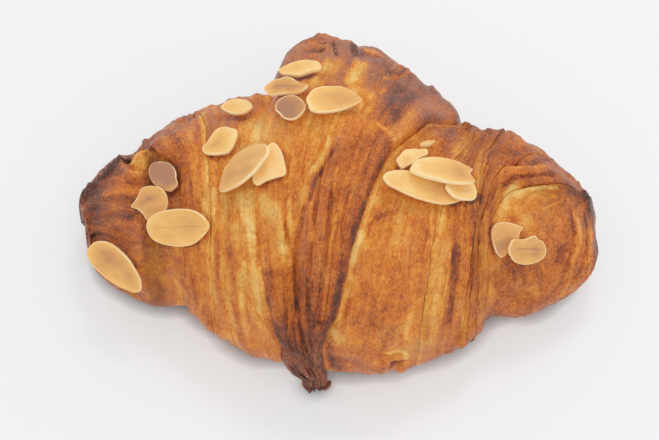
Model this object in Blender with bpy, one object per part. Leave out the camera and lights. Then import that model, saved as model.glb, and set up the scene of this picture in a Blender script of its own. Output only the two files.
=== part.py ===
"""Almond croissant: a rolled dough body with raised wraps, strewn with almond slices.

The body is one closed surface.  A station is a distance x along the roll and a
section angle t in degrees: 0 under the roll, 90 at the front (-Y), 180 on top and
270 at the back.  The plain dough core is a superellipse section; each wrap of the
rolled dough adds its own thickness on one side of an edge curve x(t).
Sizes are in millimetres until the meshes are made, which are in metres.
"""

import math

import bmesh
import bpy
import numpy as np
from mathutils import Matrix, Vector
from mathutils.bvhtree import BVHTree

MM = 0.001

# ---------------------------------------------------------------- driving sizes

HALF_LENGTH = 79.0          # centre to each end of the roll
LEFT_CAP = 22.0             # length of the rounded left end
RIGHT_CAP = 24.0            # length of the rounded right end
LEFT_ROUNDNESS = 2.3        # superellipse exponent of each end
RIGHT_ROUNDNESS = 2.1
BELLY = 0.38                # height of the widest point, as a share of the core height
SINK = 3.0                  # how far the core reaches below the table before it is cut flat
TOP_ROUNDNESS = 2.15        # superellipse exponent above the belly
FOOT_ROUNDNESS = 2.5        # and below it
CENTRE_Y = 2.8              # moves the bounding box's middle to y = 0

# Plain core along the roll: x, front face, back face, height.
CORE = [
    (-79, -19, 26, 31),
    (-70, -19.5, 25, 33),
    (-58, -22.5, 27.5, 36),
    (-47, -24, 33.5, 40),
    (-34, -33, 36.5, 44),
    (-22, -39.5, 36, 48),
    (-8, -40.5, 42, 51),
    (8, -41, 41.5, 51),
    (24, -38, 35, 48),
    (38, -32, 26.5, 43),
    (48, -27.5, 28, 38),
    (60, -26, 25, 36),
    (70, -25, 23, 34),
    (79, -29, 28, 32),
]

# Edges of the wraps, from the left end to the right end.  A wrap with a "left" edge
# lies to the right of it, and the other way round.  Points: angle t, x, thickness.
EDGES = [
    ("left", [(60, -45, 1.2), (130, -45, 1.5), (165, -46, 1.8), (180, -47.5, 2.5),
              (190, -49.5, 3.2), (200, -55, 3.2), (215, -59.5, 2.5), (240, -63.5, 2.0),
              (290, -63, 1.2)]),
    ("left", [(60, -36, 1.0), (130, -37, 1.0), (180, -38.5, 1.0), (200, -40, 1.3),
              (235, -44, 1.5), (280, -48, 1.0)]),
    ("left", [(40, -8, 0.0), (70, -11, 0.6), (90, -15, 1.8), (110, -18.5, 2.2),
              (135, -21, 1.9), (160, -23.2, 1.6), (180, -24, 3.0), (198, -22, 7.5),
              (215, -19.5, 11.0), (240, -20.5, 12.0), (275, -24, 9.0), (320, -24, 3.0)]),
    ("right", [(40, -4, 0.0), (70, -4, 0.8), (90, -4, 2.0), (110, -3, 2.5),
               (130, -0.5, 2.8), (150, 4.5, 2.8), (180, 14.5, 3.5), (200, 20.5, 5.5),
               (215, 30, 6.5), (240, 38, 7.0), (275, 42, 6.0), (320, 36, 2.0)]),
    ("right", [(60, 22.5, 0.8), (120, 23, 0.8), (150, 24.5, 0.8), (180, 29, 0.8),
               (200, 34, 0.8), (235, 43, 0.8), (280, 48, 0.8)]),
    ("right", [(60, 36, 0.8), (120, 36.5, 0.8), (150, 38.5, 0.8), (180, 41, 0.8),
               (200, 43, 0.8), (235, 51, 0.8), (280, 54, 0.8)]),
    ("right", [(60, 42, 3.0), (90, 42, 3.5), (110, 42, 2.5), (135, 42, 1.5),
               (165, 43.5, 1.2), (180, 46, 1.2), (200, 51.5, 1.0), (235, 64, 0.8),
               (280, 66, 0.8)]),
    ("right", [(60, 43.5, 2.0), (90, 43.3, 2.2), (130, 43, 2.0), (165, 45, 2.2),
               (180, 51, 2.2), (190, 62, 2.0), (200, 69.5, 1.4), (215, 73.5, 0.6),
               (240, 75, 0.2), (300, 73, 0.3)]),
]
LAST_WRAP = (2, 3)          # the two edges of the last turn, which ends in the tail
LIP_BASE = 1.0              # a lip's width is LIP_BASE + LIP_SHARE * its thickness
LIP_SHARE = 0.75

# Folds, cracks and bulges that cross the wraps: height (a groove is negative), width,
# and the way points x, t that they follow.
FOLDS = [
    # the left end: burnt rim, rolled lip, the hole behind it, pocket and creases
    (1.6, 3.0, [(-64, 216), (-68, 215), (-74, 211), (-77, 200), (-77, 164), (-75, 130)]),
    (1.8, 1.8, [(-66, 210), (-64, 199), (-61, 191), (-57, 188)]),
    (-5.5, 2.6, [(-62.5, 206), (-60.5, 198)]),
    (1.8, 2.6, [(-61.5, 208), (-57, 205), (-52, 200)]),
    (-2.6, 4.0, [(-54, 196), (-50, 190), (-47, 182)]),
    (-1.6, 2.4, [(-73, 138), (-70, 146), (-65, 142), (-63, 138)]),
    (-1.3, 2.4, [(-45.5, 180), (-47, 172), (-47, 162)]),
    (-1.0, 2.6, [(-74, 186), (-68, 184), (-60, 184)]),
    (-0.9, 2.6, [(-74, 168), (-68, 168), (-60, 172)]),
    # the collar on top of the last turn: cracks between its knobs, and the groove below
    (-2.2, 2.6, [(-9, 220), (-6, 226), (-2, 228)]),
    (-2.0, 2.6, [(4, 222), (9, 230), (15, 235)]),
    (-1.8, 2.6, [(13, 212), (18, 219), (22, 232)]),
    (1.2, 3.2, [(0, 218), (3, 232)]),
    (-1.2, 2.8, [(2, 210), (3, 204), (5, 198)]),
    # the creases that gather the last turn into the tail
    (-1.0, 2.2, [(-6, 184), (-10, 174), (-13, 157), (-13, 127), (-9, 97)]),
    (-0.9, 2.0, [(-2, 165), (-3, 147), (-3, 116)]),
    # the right end: hollow behind the ball, and a small torn pocket at the front foot
    (-1.4, 3.6, [(51, 204), (57, 208)]),
    (-1.6, 2.0, [(14, 96), (18, 96)]),
]

# Broad unevenness of the dough: height, waves along the roll, waves round it, offsets.
LUMPS = [
    (0.55, 0.11, 3, 0.4, 1.1),
    (0.45, 0.23, 5, 2.0, 0.3),
    (0.30, 0.41, 8, 1.2, 4.0),
]

# ---------------------------------------------------------------- almond slices

SLICE_THICKNESS = 1.25
SLICE_ROUNDING = 0.35       # rounding of the slice's rim
SLICE_SIDES = 16
GAP = 0.35                  # clear space between a slice and what it lies on

# Outline kinds: fullness of the blunt end, fullness of the pointed end, where the blunt
# end and the pointed end are broken off (1 = whole).
KINDS = {
    "lens": (1.25, 1.55, 1.0, 1.0),
    "drop": (0.90, 1.70, 1.0, 1.0),
    "oval": (0.95, 1.05, 1.0, 1.0),
    "disc": (0.85, 1.20, 1.0, 1.0),
    "half": (0.90, 0.90, 1.0, 0.35),
    "chipped": (0.90, 0.95, 1.0, 0.72),
    "wedge": (0.80, 1.75, 0.55, 1.0),
    "quad": (0.80, 0.85, 0.62, 0.66),
}

# One row a slice: name, kind, x, t, turn in degrees, length, width, lean in degrees.
# A lean tips a slice off the dough, about its long axis; the others lie flat.
# A slice that lies on another comes after it.
SLICES = [
    ("almond_slice_01", "chipped", -11.0, 211.0, -6, 13.0, 7.4, 14),
    ("almond_slice_02", "lens", -14.0, 204.0, -14, 13.5, 8.0, 14),
    ("almond_slice_03", "oval", -13.0, 195.0, -12, 9.2, 9.6, 0),
    ("almond_slice_04", "drop", -1.5, 196.0, 0, 16.5, 11.2, 0),
    ("almond_slice_05", "oval", -29.0, 214.5, -13, 9.8, 7.2, 22),
    ("almond_slice_06", "drop", -34.0, 192.0, 210, 11.4, 9.4, 0),
    ("almond_slice_08", "wedge", -19.0, 180.5, 87, 12.8, 9.2, 0),
    ("almond_slice_07", "lens", -25.0, 180.0, 35, 18.6, 10.6, 0),
    ("almond_slice_09", "disc", -51.0, 180.5, -50, 11.0, 9.4, 0),
    ("almond_slice_10", "chipped", -54.0, 166.0, 146, 11.0, 10.2, 0),
    ("almond_slice_11", "lens", -45.0, 149.0, 178, 20.2, 11.4, 0),
    ("almond_slice_12", "oval", -65.5, 119.0, -24, 20.4, 11.4, -24),
    ("almond_slice_13", "quad", 20.5, 183.0, 35, 10.0, 5.6, 0),
    ("almond_chip_01", "quad", 25.0, 191.5, 44, 4.4, 2.6, 0),
    ("almond_slice_14", "drop", 23.0, 172.5, 165, 23.6, 10.6, 0),
    ("almond_slice_15", "chipped", 34.0, 174.5, 0, 11.0, 7.0, 0),
    ("almond_slice_16", "chipped", 28.0, 179.5, 0, 20.6, 9.4, 0),
    ("almond_slice_17", "half", 48.0, 150.0, 62, 10.4, 9.4, 0),
    ("almond_slice_18", "oval", 54.5, 143.0, 10, 11.6, 8.4, 0),
]

# ---------------------------------------------------------------- the tail

# Centre line of the tail of the last turn, down the front and onto the table:
# x, y, z, width, thickness.
TAIL = [
    (-11.4, -41.0, 22.0, 11.0, 4.0),
    (-10.8, -43.4, 17.0, 12.0, 5.0),
    (-9.9, -44.4, 11.5, 12.0, 5.0),
    (-8.9, -44.8, 7.0, 10.4, 4.8),
    (-8.1, -45.8, 3.8, 9.4, 4.4),
    (-7.6, -47.2, 2.4, 9.0, 3.8),
    (-7.3, -48.6, 1.9, 7.0, 2.6),
]
TAIL_SIDES = 12
TAIL_RIBS = 3               # strands that show across the tail's width
TAIL_RIB_HEIGHT = 0.12      # as a share of its thickness
# The stray strand that curls up beside the tip: x, y, z, radius.
HOOK = [
    (-6.2, -48.0, 1.8, 1.0),
    (-4.6, -48.4, 1.5, 0.9),
    (-3.5, -47.8, 1.8, 0.8),
    (-3.2, -46.9, 2.6, 0.65),
]
HOOK_SIDES = 8

# ---------------------------------------------------------------- mesh density

BASE_ROWS = 7               # rows across the flat underside
SIDE_ROWS = 40              # rows over the front, top and back
BASE_HALF_ANGLE = 50.0
LIP_SHARES = (0.0, 0.08, 0.35, 1.0)     # columns over a lip, as shares of its width
FOOT_WIDTH = 0.7                        # column spacing at the foot of a lip
COLUMNS_BETWEEN = (9, 2, 4, 8, 6, 3, 2, 1, 9)   # plain columns between edges


# ================================================================ curves and section

def smooth_curve(keys, values, where, period=None):
    """Reads a smooth curve through the points keys, values at the places where."""
    keys = np.asarray(keys, float)
    values = np.asarray(values, float)
    if period:
        keys = np.concatenate([keys[-2:] - period, keys, keys[:2] + period])
        values = np.concatenate([values[-2:], values, values[:2]])
        where = np.mod(where - keys[2], period) + keys[2]
    slopes = np.gradient(values, keys)
    i = np.clip(np.searchsorted(keys, where, side="right") - 1, 0, len(keys) - 2)
    width = keys[i + 1] - keys[i]
    u = np.clip((where - keys[i]) / width, 0, 1)
    return ((1 + 2 * u) * (1 - u) ** 2 * values[i]
            + u * (1 - u) ** 2 * width * slopes[i]
            + u * u * (3 - 2 * u) * values[i + 1]
            + u * u * (u - 1) * width * slopes[i + 1])


def ease(value):
    """Smooth step from 0 to 1."""
    value = np.clip(value, 0, 1)
    return value * value * (3 - 2 * value)


def end_taper(x):
    """1 along the roll, rounding down to 0 at each end."""
    left = np.clip((-(HALF_LENGTH - LEFT_CAP) - x) / LEFT_CAP, 0, 1)
    right = np.clip((x - (HALF_LENGTH - RIGHT_CAP)) / RIGHT_CAP, 0, 1)
    round_left = (1 - left ** LEFT_ROUNDNESS) ** (1 / LEFT_ROUNDNESS)
    round_right = (1 - right ** RIGHT_ROUNDNESS) ** (1 / RIGHT_ROUNDNESS)
    return round_left * round_right


def core_point(x, t):
    """Point of the plain dough core, and the section's outward normal there."""
    stations, fronts, backs, heights = np.array(CORE, float).T
    front = smooth_curve(stations, fronts, x)
    back = smooth_curve(stations, backs, x)
    height = smooth_curve(stations, heights, x)
    taper = end_taper(x)
    belly = BELLY * height
    half_width = (back - front) / 2 * taper
    s = np.sin(np.radians(t))
    k = -np.cos(np.radians(t))
    power = np.where(k > 0, TOP_ROUNDNESS, FOOT_ROUNDNESS)
    half_height = np.where(k > 0, height - belly, belly + SINK) * taper
    y = (front + back) / 2 - half_width * np.sign(s) * np.abs(s) ** (2 / power)
    z = belly + half_height * np.sign(k) * np.abs(k) ** (2 / power)
    normal_y = -s / np.maximum(half_width, 0.001)
    normal_z = k / np.maximum(half_height, 0.001)
    size = np.hypot(normal_y, normal_z)
    return y, z, normal_y / size, normal_z / size


# ================================================================ wraps and folds

def edge_x(edge, t):
    """Where an edge crosses the section angle t."""
    angles, places, _ = np.array(EDGES[edge][1], float).T
    return smooth_curve(angles, places, t, 360)


def edge_thickness(edge, t):
    """Thickness of the wrap at its edge."""
    angles, _, heights = np.array(EDGES[edge][1], float).T
    return np.maximum(smooth_curve(angles, heights, t, 360), 0)


def lip_width(edge, t):
    """Width over which a wrap rounds up from its edge."""
    return LIP_BASE + LIP_SHARE * edge_thickness(edge, t)


def wrap_thickness(x, t):
    """Thickness of all the wraps together."""
    total = {"left": 0, "right": 0}
    for edge, (side, _) in enumerate(EDGES):
        inward = 1 if side == "left" else -1
        inside = np.clip((x - edge_x(edge, t)) * inward / lip_width(edge, t), 0, 1)
        total[side] = total[side] + edge_thickness(edge, t) * np.sqrt(inside * (2 - inside))
    left_edge, right_edge = (edge_x(edge, t) for edge in LAST_WRAP)
    across = ease(((x - left_edge) / (right_edge - left_edge) - 0.2) / 0.7)
    taper = np.minimum(1, end_taper(x) * 1.5)
    return (total["left"] * (1 - across) + total["right"] * across) * taper


def distance_to_path(points, path):
    """Distance from each point to a path of straight runs."""
    nearest = np.full(points.shape[:-1], np.inf)
    for start, end in zip(path[:-1], path[1:]):
        run = end - start
        share = np.clip(((points - start) @ run) / (run @ run), 0, 1)
        gap = points - start - share[..., None] * run
        nearest = np.minimum(nearest, np.linalg.norm(gap, axis=-1))
    return nearest


def fold_height(x, t):
    """Height of the folds, cracks and bulges, and of the broad lumps."""
    y, z, _, _ = core_point(x, t)
    points = np.stack([x, y, z], axis=-1)
    height = np.zeros(x.shape)
    for rise, width, way in FOLDS:
        way_x, way_t = np.array(way, float).T
        way_y, way_z, _, _ = core_point(way_x, way_t)
        distance = distance_to_path(points, np.stack([way_x, way_y, way_z], axis=-1))
        height += rise * np.exp(-(distance / width) ** 2)
    taper = np.minimum(1, end_taper(x))
    for rise, along, around, shift_x, shift_t in LUMPS:
        height += rise * taper * np.sin(along * x + shift_x) * np.cos(np.radians(around * t) + shift_t)
    return height


def body_point(x, t):
    """Point of the finished crust, cut flat where it stands on the table."""
    y, z, normal_y, normal_z = core_point(x, t)
    raised = wrap_thickness(x, t) + fold_height(x, t) * np.minimum(1, end_taper(x) * 2)
    return np.stack([x, y + raised * normal_y - CENTRE_Y, np.maximum(z + raised * normal_z, 0)], axis=-1)


# ================================================================ the body's mesh

def side_of(edge):
    """Side of an edge, or none for the two ends of the roll."""
    return EDGES[edge][0] if 0 <= edge < len(EDGES) else None


def columns_at(t):
    """Places x of the mesh columns: they follow the edges and crowd at their lips."""
    columns = []
    for interval, plain in enumerate(COLUMNS_BETWEEN):
        low, high = interval - 1, interval
        start = edge_x(low, t) if side_of(low) else np.full(t.shape, -HALF_LENGTH)
        end = edge_x(high, t) if side_of(high) else np.full(t.shape, HALF_LENGTH)
        room = (end - start) * 0.45
        rise = LIP_SHARES if side_of(low) == "left" else (0.0, 1.0)
        fall = LIP_SHARES if side_of(high) == "right" else (0.0, 1.0)
        rise_width = np.minimum(lip_width(low, t) if side_of(low) == "left" else FOOT_WIDTH, room)
        fall_width = np.minimum(lip_width(high, t) if side_of(high) == "right" else FOOT_WIDTH, room)
        if side_of(low):
            columns += [start + share * rise_width for share in rise]
            first = start + rise_width
        else:
            first = start
        last = end - fall_width if side_of(high) else end
        for step in range(1, plain + 1):
            share = step / (plain + 1)
            if not side_of(low):
                share = 1 - math.cos(share * math.pi / 2)
            if not side_of(high):
                share = math.sin(share * math.pi / 2)
            columns.append(first + share * (last - first))
        if side_of(high):
            columns += [end - share * fall_width for share in reversed(fall[1:])]
    return np.array(columns)


def row_angles():
    """Section angles of the mesh rows, wider apart under the roll."""
    under = np.linspace(-BASE_HALF_ANGLE, BASE_HALF_ANGLE, BASE_ROWS, endpoint=False)
    over = np.linspace(BASE_HALF_ANGLE, 360 - BASE_HALF_ANGLE, SIDE_ROWS, endpoint=False)
    return np.concatenate([under, over])


def build_body(material):
    """The rolled dough with its raised wraps, as one closed mesh."""
    t = row_angles()
    x = columns_at(t)
    points = body_point(x, np.broadcast_to(t, x.shape)) * MM
    columns, rows = x.shape
    mesh = bmesh.new()
    grid = [[mesh.verts.new(points[i, j]) for j in range(rows)] for i in range(columns)]
    for i in range(columns - 1):
        for j in range(rows):
            near = (j + 1) % rows
            mesh.faces.new((grid[i][j], grid[i + 1][j], grid[i + 1][near], grid[i][near]))
    for end, ring in ((-HALF_LENGTH, grid[0]), (HALF_LENGTH, grid[-1])):
        y, z, _, _ = core_point(np.array(end), np.array(180.0))
        tip = mesh.verts.new((end * MM, (float(y) - CENTRE_Y) * MM, float(z) * MM))
        for j in range(rows):
            pair = (ring[j], ring[(j + 1) % rows])
            mesh.faces.new((tip, *pair) if end < 0 else (tip, *reversed(pair)))
    return finish_object("croissant", mesh, material)


def finish_object(name, mesh, material):
    """Makes an object of a bmesh, with its faces pointing out and shaded smooth."""
    bmesh.ops.recalc_face_normals(mesh, faces=mesh.faces)
    data = bpy.data.meshes.new(name)
    mesh.to_mesh(data)
    mesh.free()
    data.materials.append(material)
    data.shade_smooth()
    data.set_sharp_from_angle(angle=math.radians(40))
    thing = bpy.data.objects.new(name, data)
    bpy.context.scene.collection.objects.link(thing)
    return thing


# ================================================================ the tail's mesh

def loft(name, rings, material):
    """Closed mesh through rings of points, with a flat cap at each end."""
    mesh = bmesh.new()
    loops = [[mesh.verts.new(Vector(point) * MM) for point in ring] for ring in rings]
    sides = len(rings[0])
    for low, high in zip(loops[:-1], loops[1:]):
        for j in range(sides):
            near = (j + 1) % sides
            mesh.faces.new((low[j], low[near], high[near], high[j]))
    mesh.faces.new(reversed(loops[0]))
    mesh.faces.new(loops[-1])
    return finish_object(name, mesh, material)


def path_frame(path, index):
    """Direction of a path at one of its points, and the two directions across it."""
    before = Vector(path[max(index - 1, 0)][:3])
    after = Vector(path[min(index + 1, len(path) - 1)][:3])
    along = (after - before).normalized()
    across = Vector((1, 0, 0))
    across = (across - along * across.dot(along)).normalized()
    return along, across, along.cross(across)


def build_tail(material):
    """Flat fibrous strip that runs down the front of the roll onto the table."""
    rings = []
    for index, (x, y, z, width, thickness) in enumerate(TAIL):
        _, across, outward = path_frame(TAIL, index)
        ring = []
        for side in range(TAIL_SIDES):
            angle = 2 * math.pi * side / TAIL_SIDES
            share = math.cos(angle)
            rib = 1 + TAIL_RIB_HEIGHT * math.cos(TAIL_RIBS * math.pi * share)
            point = Vector((x, y - CENTRE_Y, z))
            point += across * (share * width / 2)
            point += outward * (math.sin(angle) * thickness / 2 * rib)
            point.z = max(point.z, 0.0)
            ring.append(point)
        rings.append(ring)
    return loft("tail", rings, material)


def build_hook(material):
    """Stray strand that curls up beside the tail's tip."""
    rings = []
    for index, (x, y, z, radius) in enumerate(HOOK):
        along, _, _ = path_frame(HOOK, index)
        first = along.cross(Vector((0, 0, 1))).normalized()
        second = along.cross(first)
        ring = []
        for side in range(HOOK_SIDES):
            angle = 2 * math.pi * side / HOOK_SIDES
            point = Vector((x, y - CENTRE_Y, z))
            point += (first * math.cos(angle) + second * math.sin(angle)) * radius
            ring.append(point)
        rings.append(ring)
    return loft("hook", rings, material)


def fuse(body, pieces):
    """Joins the pieces to the body by one Boolean union, and removes them."""
    group = bpy.data.collections.new("tail_pieces")
    bpy.context.scene.collection.children.link(group)
    for piece in pieces:
        bpy.context.scene.collection.objects.unlink(piece)
        group.objects.link(piece)
    union = body.modifiers.new("tail union", "BOOLEAN")
    union.operation = "UNION"
    union.operand_type = "COLLECTION"
    union.collection = group
    union.solver = "EXACT"
    graph = bpy.context.evaluated_depsgraph_get()
    joined = bpy.data.meshes.new_from_object(body.evaluated_get(graph), depsgraph=graph)
    body.modifiers.remove(union)
    body.data = joined
    for piece in pieces:
        bpy.data.objects.remove(piece, do_unlink=True)
    bpy.data.collections.remove(group)


# ================================================================ almond slices

def slice_outline(kind, length, width, swell=1.0):
    """Outline of a slice in its own plane; its pointed or broken end is at +x."""
    blunt, pointed, blunt_break, pointed_break = KINDS[kind]
    points = []
    for side in range(SLICE_SIDES):
        angle = 2 * math.pi * (side + 0.5) / SLICE_SIDES
        u = math.cos(angle)
        fullness = blunt + (pointed - blunt) * (1 + u) / 2
        v = math.copysign(abs(math.sin(angle)) ** fullness, math.sin(angle))
        u = min(max(u, -blunt_break), pointed_break)
        share = 2 * (u + blunt_break) / (blunt_break + pointed_break) - 1
        points.append((share * length / 2 * swell, v * width / 2 * swell))
    return points


def crust_frame(x, t):
    """Point on the crust, and the smooth normal of the dough around it."""
    def core(at_x, at_t):
        y, z, _, _ = core_point(np.array(float(at_x)), np.array(float(at_t)))
        return Vector((at_x, float(y), float(z)))
    along = core(x + 3, t) - core(x - 3, t)
    around = core(x, t + 4) - core(x, t - 4)
    point = body_point(np.array([float(x)]), np.array([float(t)]))[0]
    return Vector(point), along.cross(around).normalized()


def inside_outline(u, v, kind, length, width):
    """Whether a place in the slice's plane is within its outline."""
    blunt, pointed, blunt_break, pointed_break = KINDS[kind]
    share = (1 + 2 * u / length) * (blunt_break + pointed_break) / 2 - blunt_break
    within = np.clip(share, -1, 1)
    fullness = blunt + (pointed - blunt) * (1 + within) / 2
    half = width / 2 * (1 - within * within) ** (fullness / 2)
    return (np.abs(2 * u / length) < 1) & (np.abs(v) < half)


def heights_under(place, supports, kind, length, width):
    """Heights of what lies under a slice, at places in its own plane."""
    reach = 14.0
    margin = 1.12
    found = []
    for tree, vertices in supports:
        local = (vertices - np.array(place.translation)) @ np.array(place.to_3x3())
        near = inside_outline(local[:, 0] / margin, local[:, 1] / margin, kind, length, width)
        near &= np.abs(local[:, 2]) < reach
        found.append(local[near])
        for u in np.linspace(-0.54, 0.54, 19) * length:
            for v in np.linspace(-0.54, 0.54, 11) * width:
                if not inside_outline(u / margin, v / margin, kind, length, width):
                    continue
                start = place @ Vector((u, v, reach))
                hit, _, _, distance = tree.ray_cast(start, -place.col[2].to_3d(), 2 * reach)
                if hit is not None:
                    found.append(np.array([[u, v, reach - distance]]))
    return np.concatenate(found)


def lay_slice(x, t, turn, lean, kind, length, width, supports):
    """Where a slice comes to lie: its plane rests on the highest places under it."""
    point, normal = crust_frame(x, t)
    flat = (Vector((1, 0, 0)) - normal * normal.x).normalized()
    place = Matrix.Identity(4)
    place.col[0] = flat.to_4d()
    place.col[1] = normal.cross(flat).to_4d()
    place.col[2] = normal.to_4d()
    place.col[3] = (*point, 1)
    for column in range(3):
        place.col[column][3] = 0
    place = place @ Matrix.Rotation(math.radians(turn), 4, "Z")
    if lean:
        place = place @ Matrix.Rotation(math.radians(lean), 4, "X")
    else:
        under = heights_under(place, supports, kind, length, width)
        best = None
        for slope_u in np.linspace(-0.4, 0.4, 33):
            for slope_v in np.linspace(-0.4, 0.4, 33):
                level = (under[:, 2] - slope_u * under[:, 0] - slope_v * under[:, 1]).max()
                if best is None or level < best[0]:
                    best = (level, slope_u, slope_v)
        level, slope_u, slope_v = best
        place = place @ Matrix.Translation((0, 0, level))
        place = place @ Matrix.Rotation(-math.atan(slope_u), 4, "Y")
        place = place @ Matrix.Rotation(math.atan(slope_v), 4, "X")
    under = heights_under(place, supports, kind, length, width)
    return place @ Matrix.Translation((0, 0, under[:, 2].max() + GAP))


def build_slice(name, kind, length, width, place, material):
    """Thin almond slice with a rounded rim, lying in the plane of its place."""
    inset = 1 - 2 * SLICE_ROUNDING / width
    levels = ((0.0, inset), (SLICE_ROUNDING, 1.0),
              (SLICE_THICKNESS - SLICE_ROUNDING, 1.0), (SLICE_THICKNESS, inset))
    mesh = bmesh.new()
    loops = []
    for height, swell in levels:
        outline = slice_outline(kind, length, width, swell)
        loops.append([mesh.verts.new(Vector((u, v, height)) * MM) for u, v in outline])
    for low, high in zip(loops[:-1], loops[1:]):
        for j in range(SLICE_SIDES):
            near = (j + 1) % SLICE_SIDES
            mesh.faces.new((low[j], low[near], high[near], high[j]))
    mesh.faces.new(reversed(loops[0]))
    mesh.faces.new(loops[-1])
    piece = finish_object(name, mesh, material)
    place = place.copy()
    place.translation = place.translation * MM
    piece.matrix_world = place
    return piece


def support_of(thing):
    """Search tree and vertices of an object, in millimetres, for laying slices on it."""
    bpy.context.view_layer.update()
    vertices = [thing.matrix_world @ vertex.co / MM for vertex in thing.data.vertices]
    faces = [tuple(face.vertices) for face in thing.data.polygons]
    return BVHTree.FromPolygons(vertices, faces), np.array(vertices)


# ================================================================ materials and scene

def make_material(name, colour, roughness):
    """Plain material with a colour and a roughness."""
    material = bpy.data.materials.new(name)
    material.use_nodes = True
    shader = material.node_tree.nodes["Principled BSDF"]
    shader.inputs["Base Color"].default_value = (*colour, 1)
    shader.inputs["Roughness"].default_value = roughness
    shader.inputs["Metallic"].default_value = 0.0
    return material


def main():
    for thing in list(bpy.data.objects):
        bpy.data.objects.remove(thing, do_unlink=True)
    crust = make_material("baked_crust", (0.50, 0.19, 0.055), 0.5)
    almond = make_material("toasted_almond", (0.80, 0.50, 0.21), 0.55)
    body = build_body(crust)
    fuse(body, [build_tail(crust), build_hook(crust)])
    supports = [support_of(body)]
    for name, kind, x, t, turn, length, width, lean in SLICES:
        place = lay_slice(x, t, turn, lean, kind, length, width, supports)
        piece = build_slice(name, kind, length, width, place, almond)
        supports.append(support_of(piece))


main()
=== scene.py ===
"""Looks of the almond croissant: crust relief and colours, almond slices, table, light, camera."""
import math

import bpy
import numpy as np
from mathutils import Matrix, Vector


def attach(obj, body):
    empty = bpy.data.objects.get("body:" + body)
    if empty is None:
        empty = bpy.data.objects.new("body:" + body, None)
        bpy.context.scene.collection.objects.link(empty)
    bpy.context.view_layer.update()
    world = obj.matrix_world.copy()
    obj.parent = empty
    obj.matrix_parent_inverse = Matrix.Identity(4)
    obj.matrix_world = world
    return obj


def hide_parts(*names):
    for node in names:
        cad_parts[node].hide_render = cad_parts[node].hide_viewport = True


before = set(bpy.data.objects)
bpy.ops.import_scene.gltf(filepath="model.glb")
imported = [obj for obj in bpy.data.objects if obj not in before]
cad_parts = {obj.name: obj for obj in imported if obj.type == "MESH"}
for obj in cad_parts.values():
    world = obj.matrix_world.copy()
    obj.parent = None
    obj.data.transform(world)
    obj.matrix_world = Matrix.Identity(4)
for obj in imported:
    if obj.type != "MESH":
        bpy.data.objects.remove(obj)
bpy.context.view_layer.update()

MM = 0.001

# ================================================================ the dough's form
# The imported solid's sizes, in millimetres, with some edges of the wraps moved by up to 4 mm
# and thinned.  A station is a distance x along the roll and a section angle t: 0 under the
# roll, 90 front, 180 on top, 270 back.

HALF_LENGTH = 79.0
LEFT_CAP, RIGHT_CAP = 22.0, 24.0                # lengths of the rounded ends
LEFT_ROUNDNESS, RIGHT_ROUNDNESS = 2.3, 2.1      # powers of their superellipses
BELLY = 0.38                # height of the widest line, as a share of the core's height
SINK = 3.0                  # how far the core reaches below the table, so that its base is flat
TOP_ROUNDNESS, FOOT_ROUNDNESS = 2.15, 2.5       # powers of the section's superellipse
CENTRE_Y = 2.8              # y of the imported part's middle, where these sizes are given

# Plain core along the roll: x, front face, back face, height.
CORE = [
    (-79, -19, 26, 31), (-70, -19.5, 25, 33), (-58, -22.5, 27.5, 36), (-47, -24, 33.5, 40),
    (-34, -33, 36.5, 44), (-22, -39.5, 36, 48), (-8, -40.5, 42, 51), (8, -41, 41.5, 51),
    (24, -38, 35, 48), (38, -32, 26.5, 43), (48, -27.5, 28, 38), (60, -26, 25, 36),
    (70, -25, 23, 34), (79, -29, 28, 32),
]

# Edges of the wraps, from left to right: the side of the wrap that each one is at, and where
# it runs: angle t, x, thickness.
EDGES = [
    ("left", [(60, -45, 1.2), (130, -45, 1.5), (165, -46, 1.8), (180, -47.5, 2.5), (190, -49.5, 3.2),
              (200, -54, 3.2), (215, -57, 2.5), (240, -60, 2), (290, -63, 1.2)]),
    ("left", [(60, -36, 1), (130, -36.6, 0.4), (165, -36.8, 0.2), (180, -37.4, 0.2), (200, -38.8, 0.8),
              (235, -43, 1.2), (280, -48, 1)]),
    ("left", [(40, -8, 0), (70, -11, 0.6), (90, -15, 1.8), (110, -18.5, 2.2), (135, -21, 1.9),
              (160, -23.2, 1.6), (180, -24, 3), (198, -22, 7.5), (215, -19, 11), (240, -19.2, 12),
              (275, -22.6, 9), (320, -24, 3)]),
    ("right", [(40, -4, 0), (70, -4, 0.8), (90, -4.5, 2), (110, -3.4, 2.5), (120, -0.2, 2.6),
               (130, 1.4, 2.8), (140, 2.9, 2.8), (150, 4.5, 2.8), (158, 6.2, 2.9), (166, 8.3, 3),
               (170, 9.5, 3.1), (175, 11.4, 3.3), (182, 14.2, 3.6), (189, 17.8, 4), (199, 22.6, 4.4),
               (208, 26, 4.8), (219, 31.2, 5), (229, 35.2, 5.4), (245, 37, 6), (275, 39, 6),
               (320, 36, 2)]),
    ("right", [(60, 23.6, 0.5), (120, 24.2, 0.3), (143, 26.2, 0.2), (157, 27.2, 0.2), (180, 31, 0.3),
               (200, 36, 0.5), (235, 43, 0.8), (280, 48, 0.8)]),
    ("right", [(60, 36, 0.5), (120, 36.5, 0.25), (150, 38.5, 0.25), (180, 41, 0.3), (200, 43, 0.8),
               (235, 51, 0.8), (280, 54, 0.8)]),
    ("right", [(60, 40.6, 2.2), (90, 40.6, 2.4), (110, 40.6, 1.6), (135, 40.6, 0.9), (165, 41.5, 0.8),
               (180, 44.5, 1), (200, 51.5, 1), (235, 64, 0.8), (280, 66, 0.8)]),
    ("right", [(60, 43.6, 2.6), (90, 43.7, 3), (130, 43.8, 2.6), (165, 45, 2.4), (180, 51, 2.2),
               (190, 62, 2), (200, 69.5, 1.4), (215, 73.5, 0.6), (240, 75, 0.2), (300, 73, 0.3)]),
]
LAST_WRAP = (2, 3)          # its two edges
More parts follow.
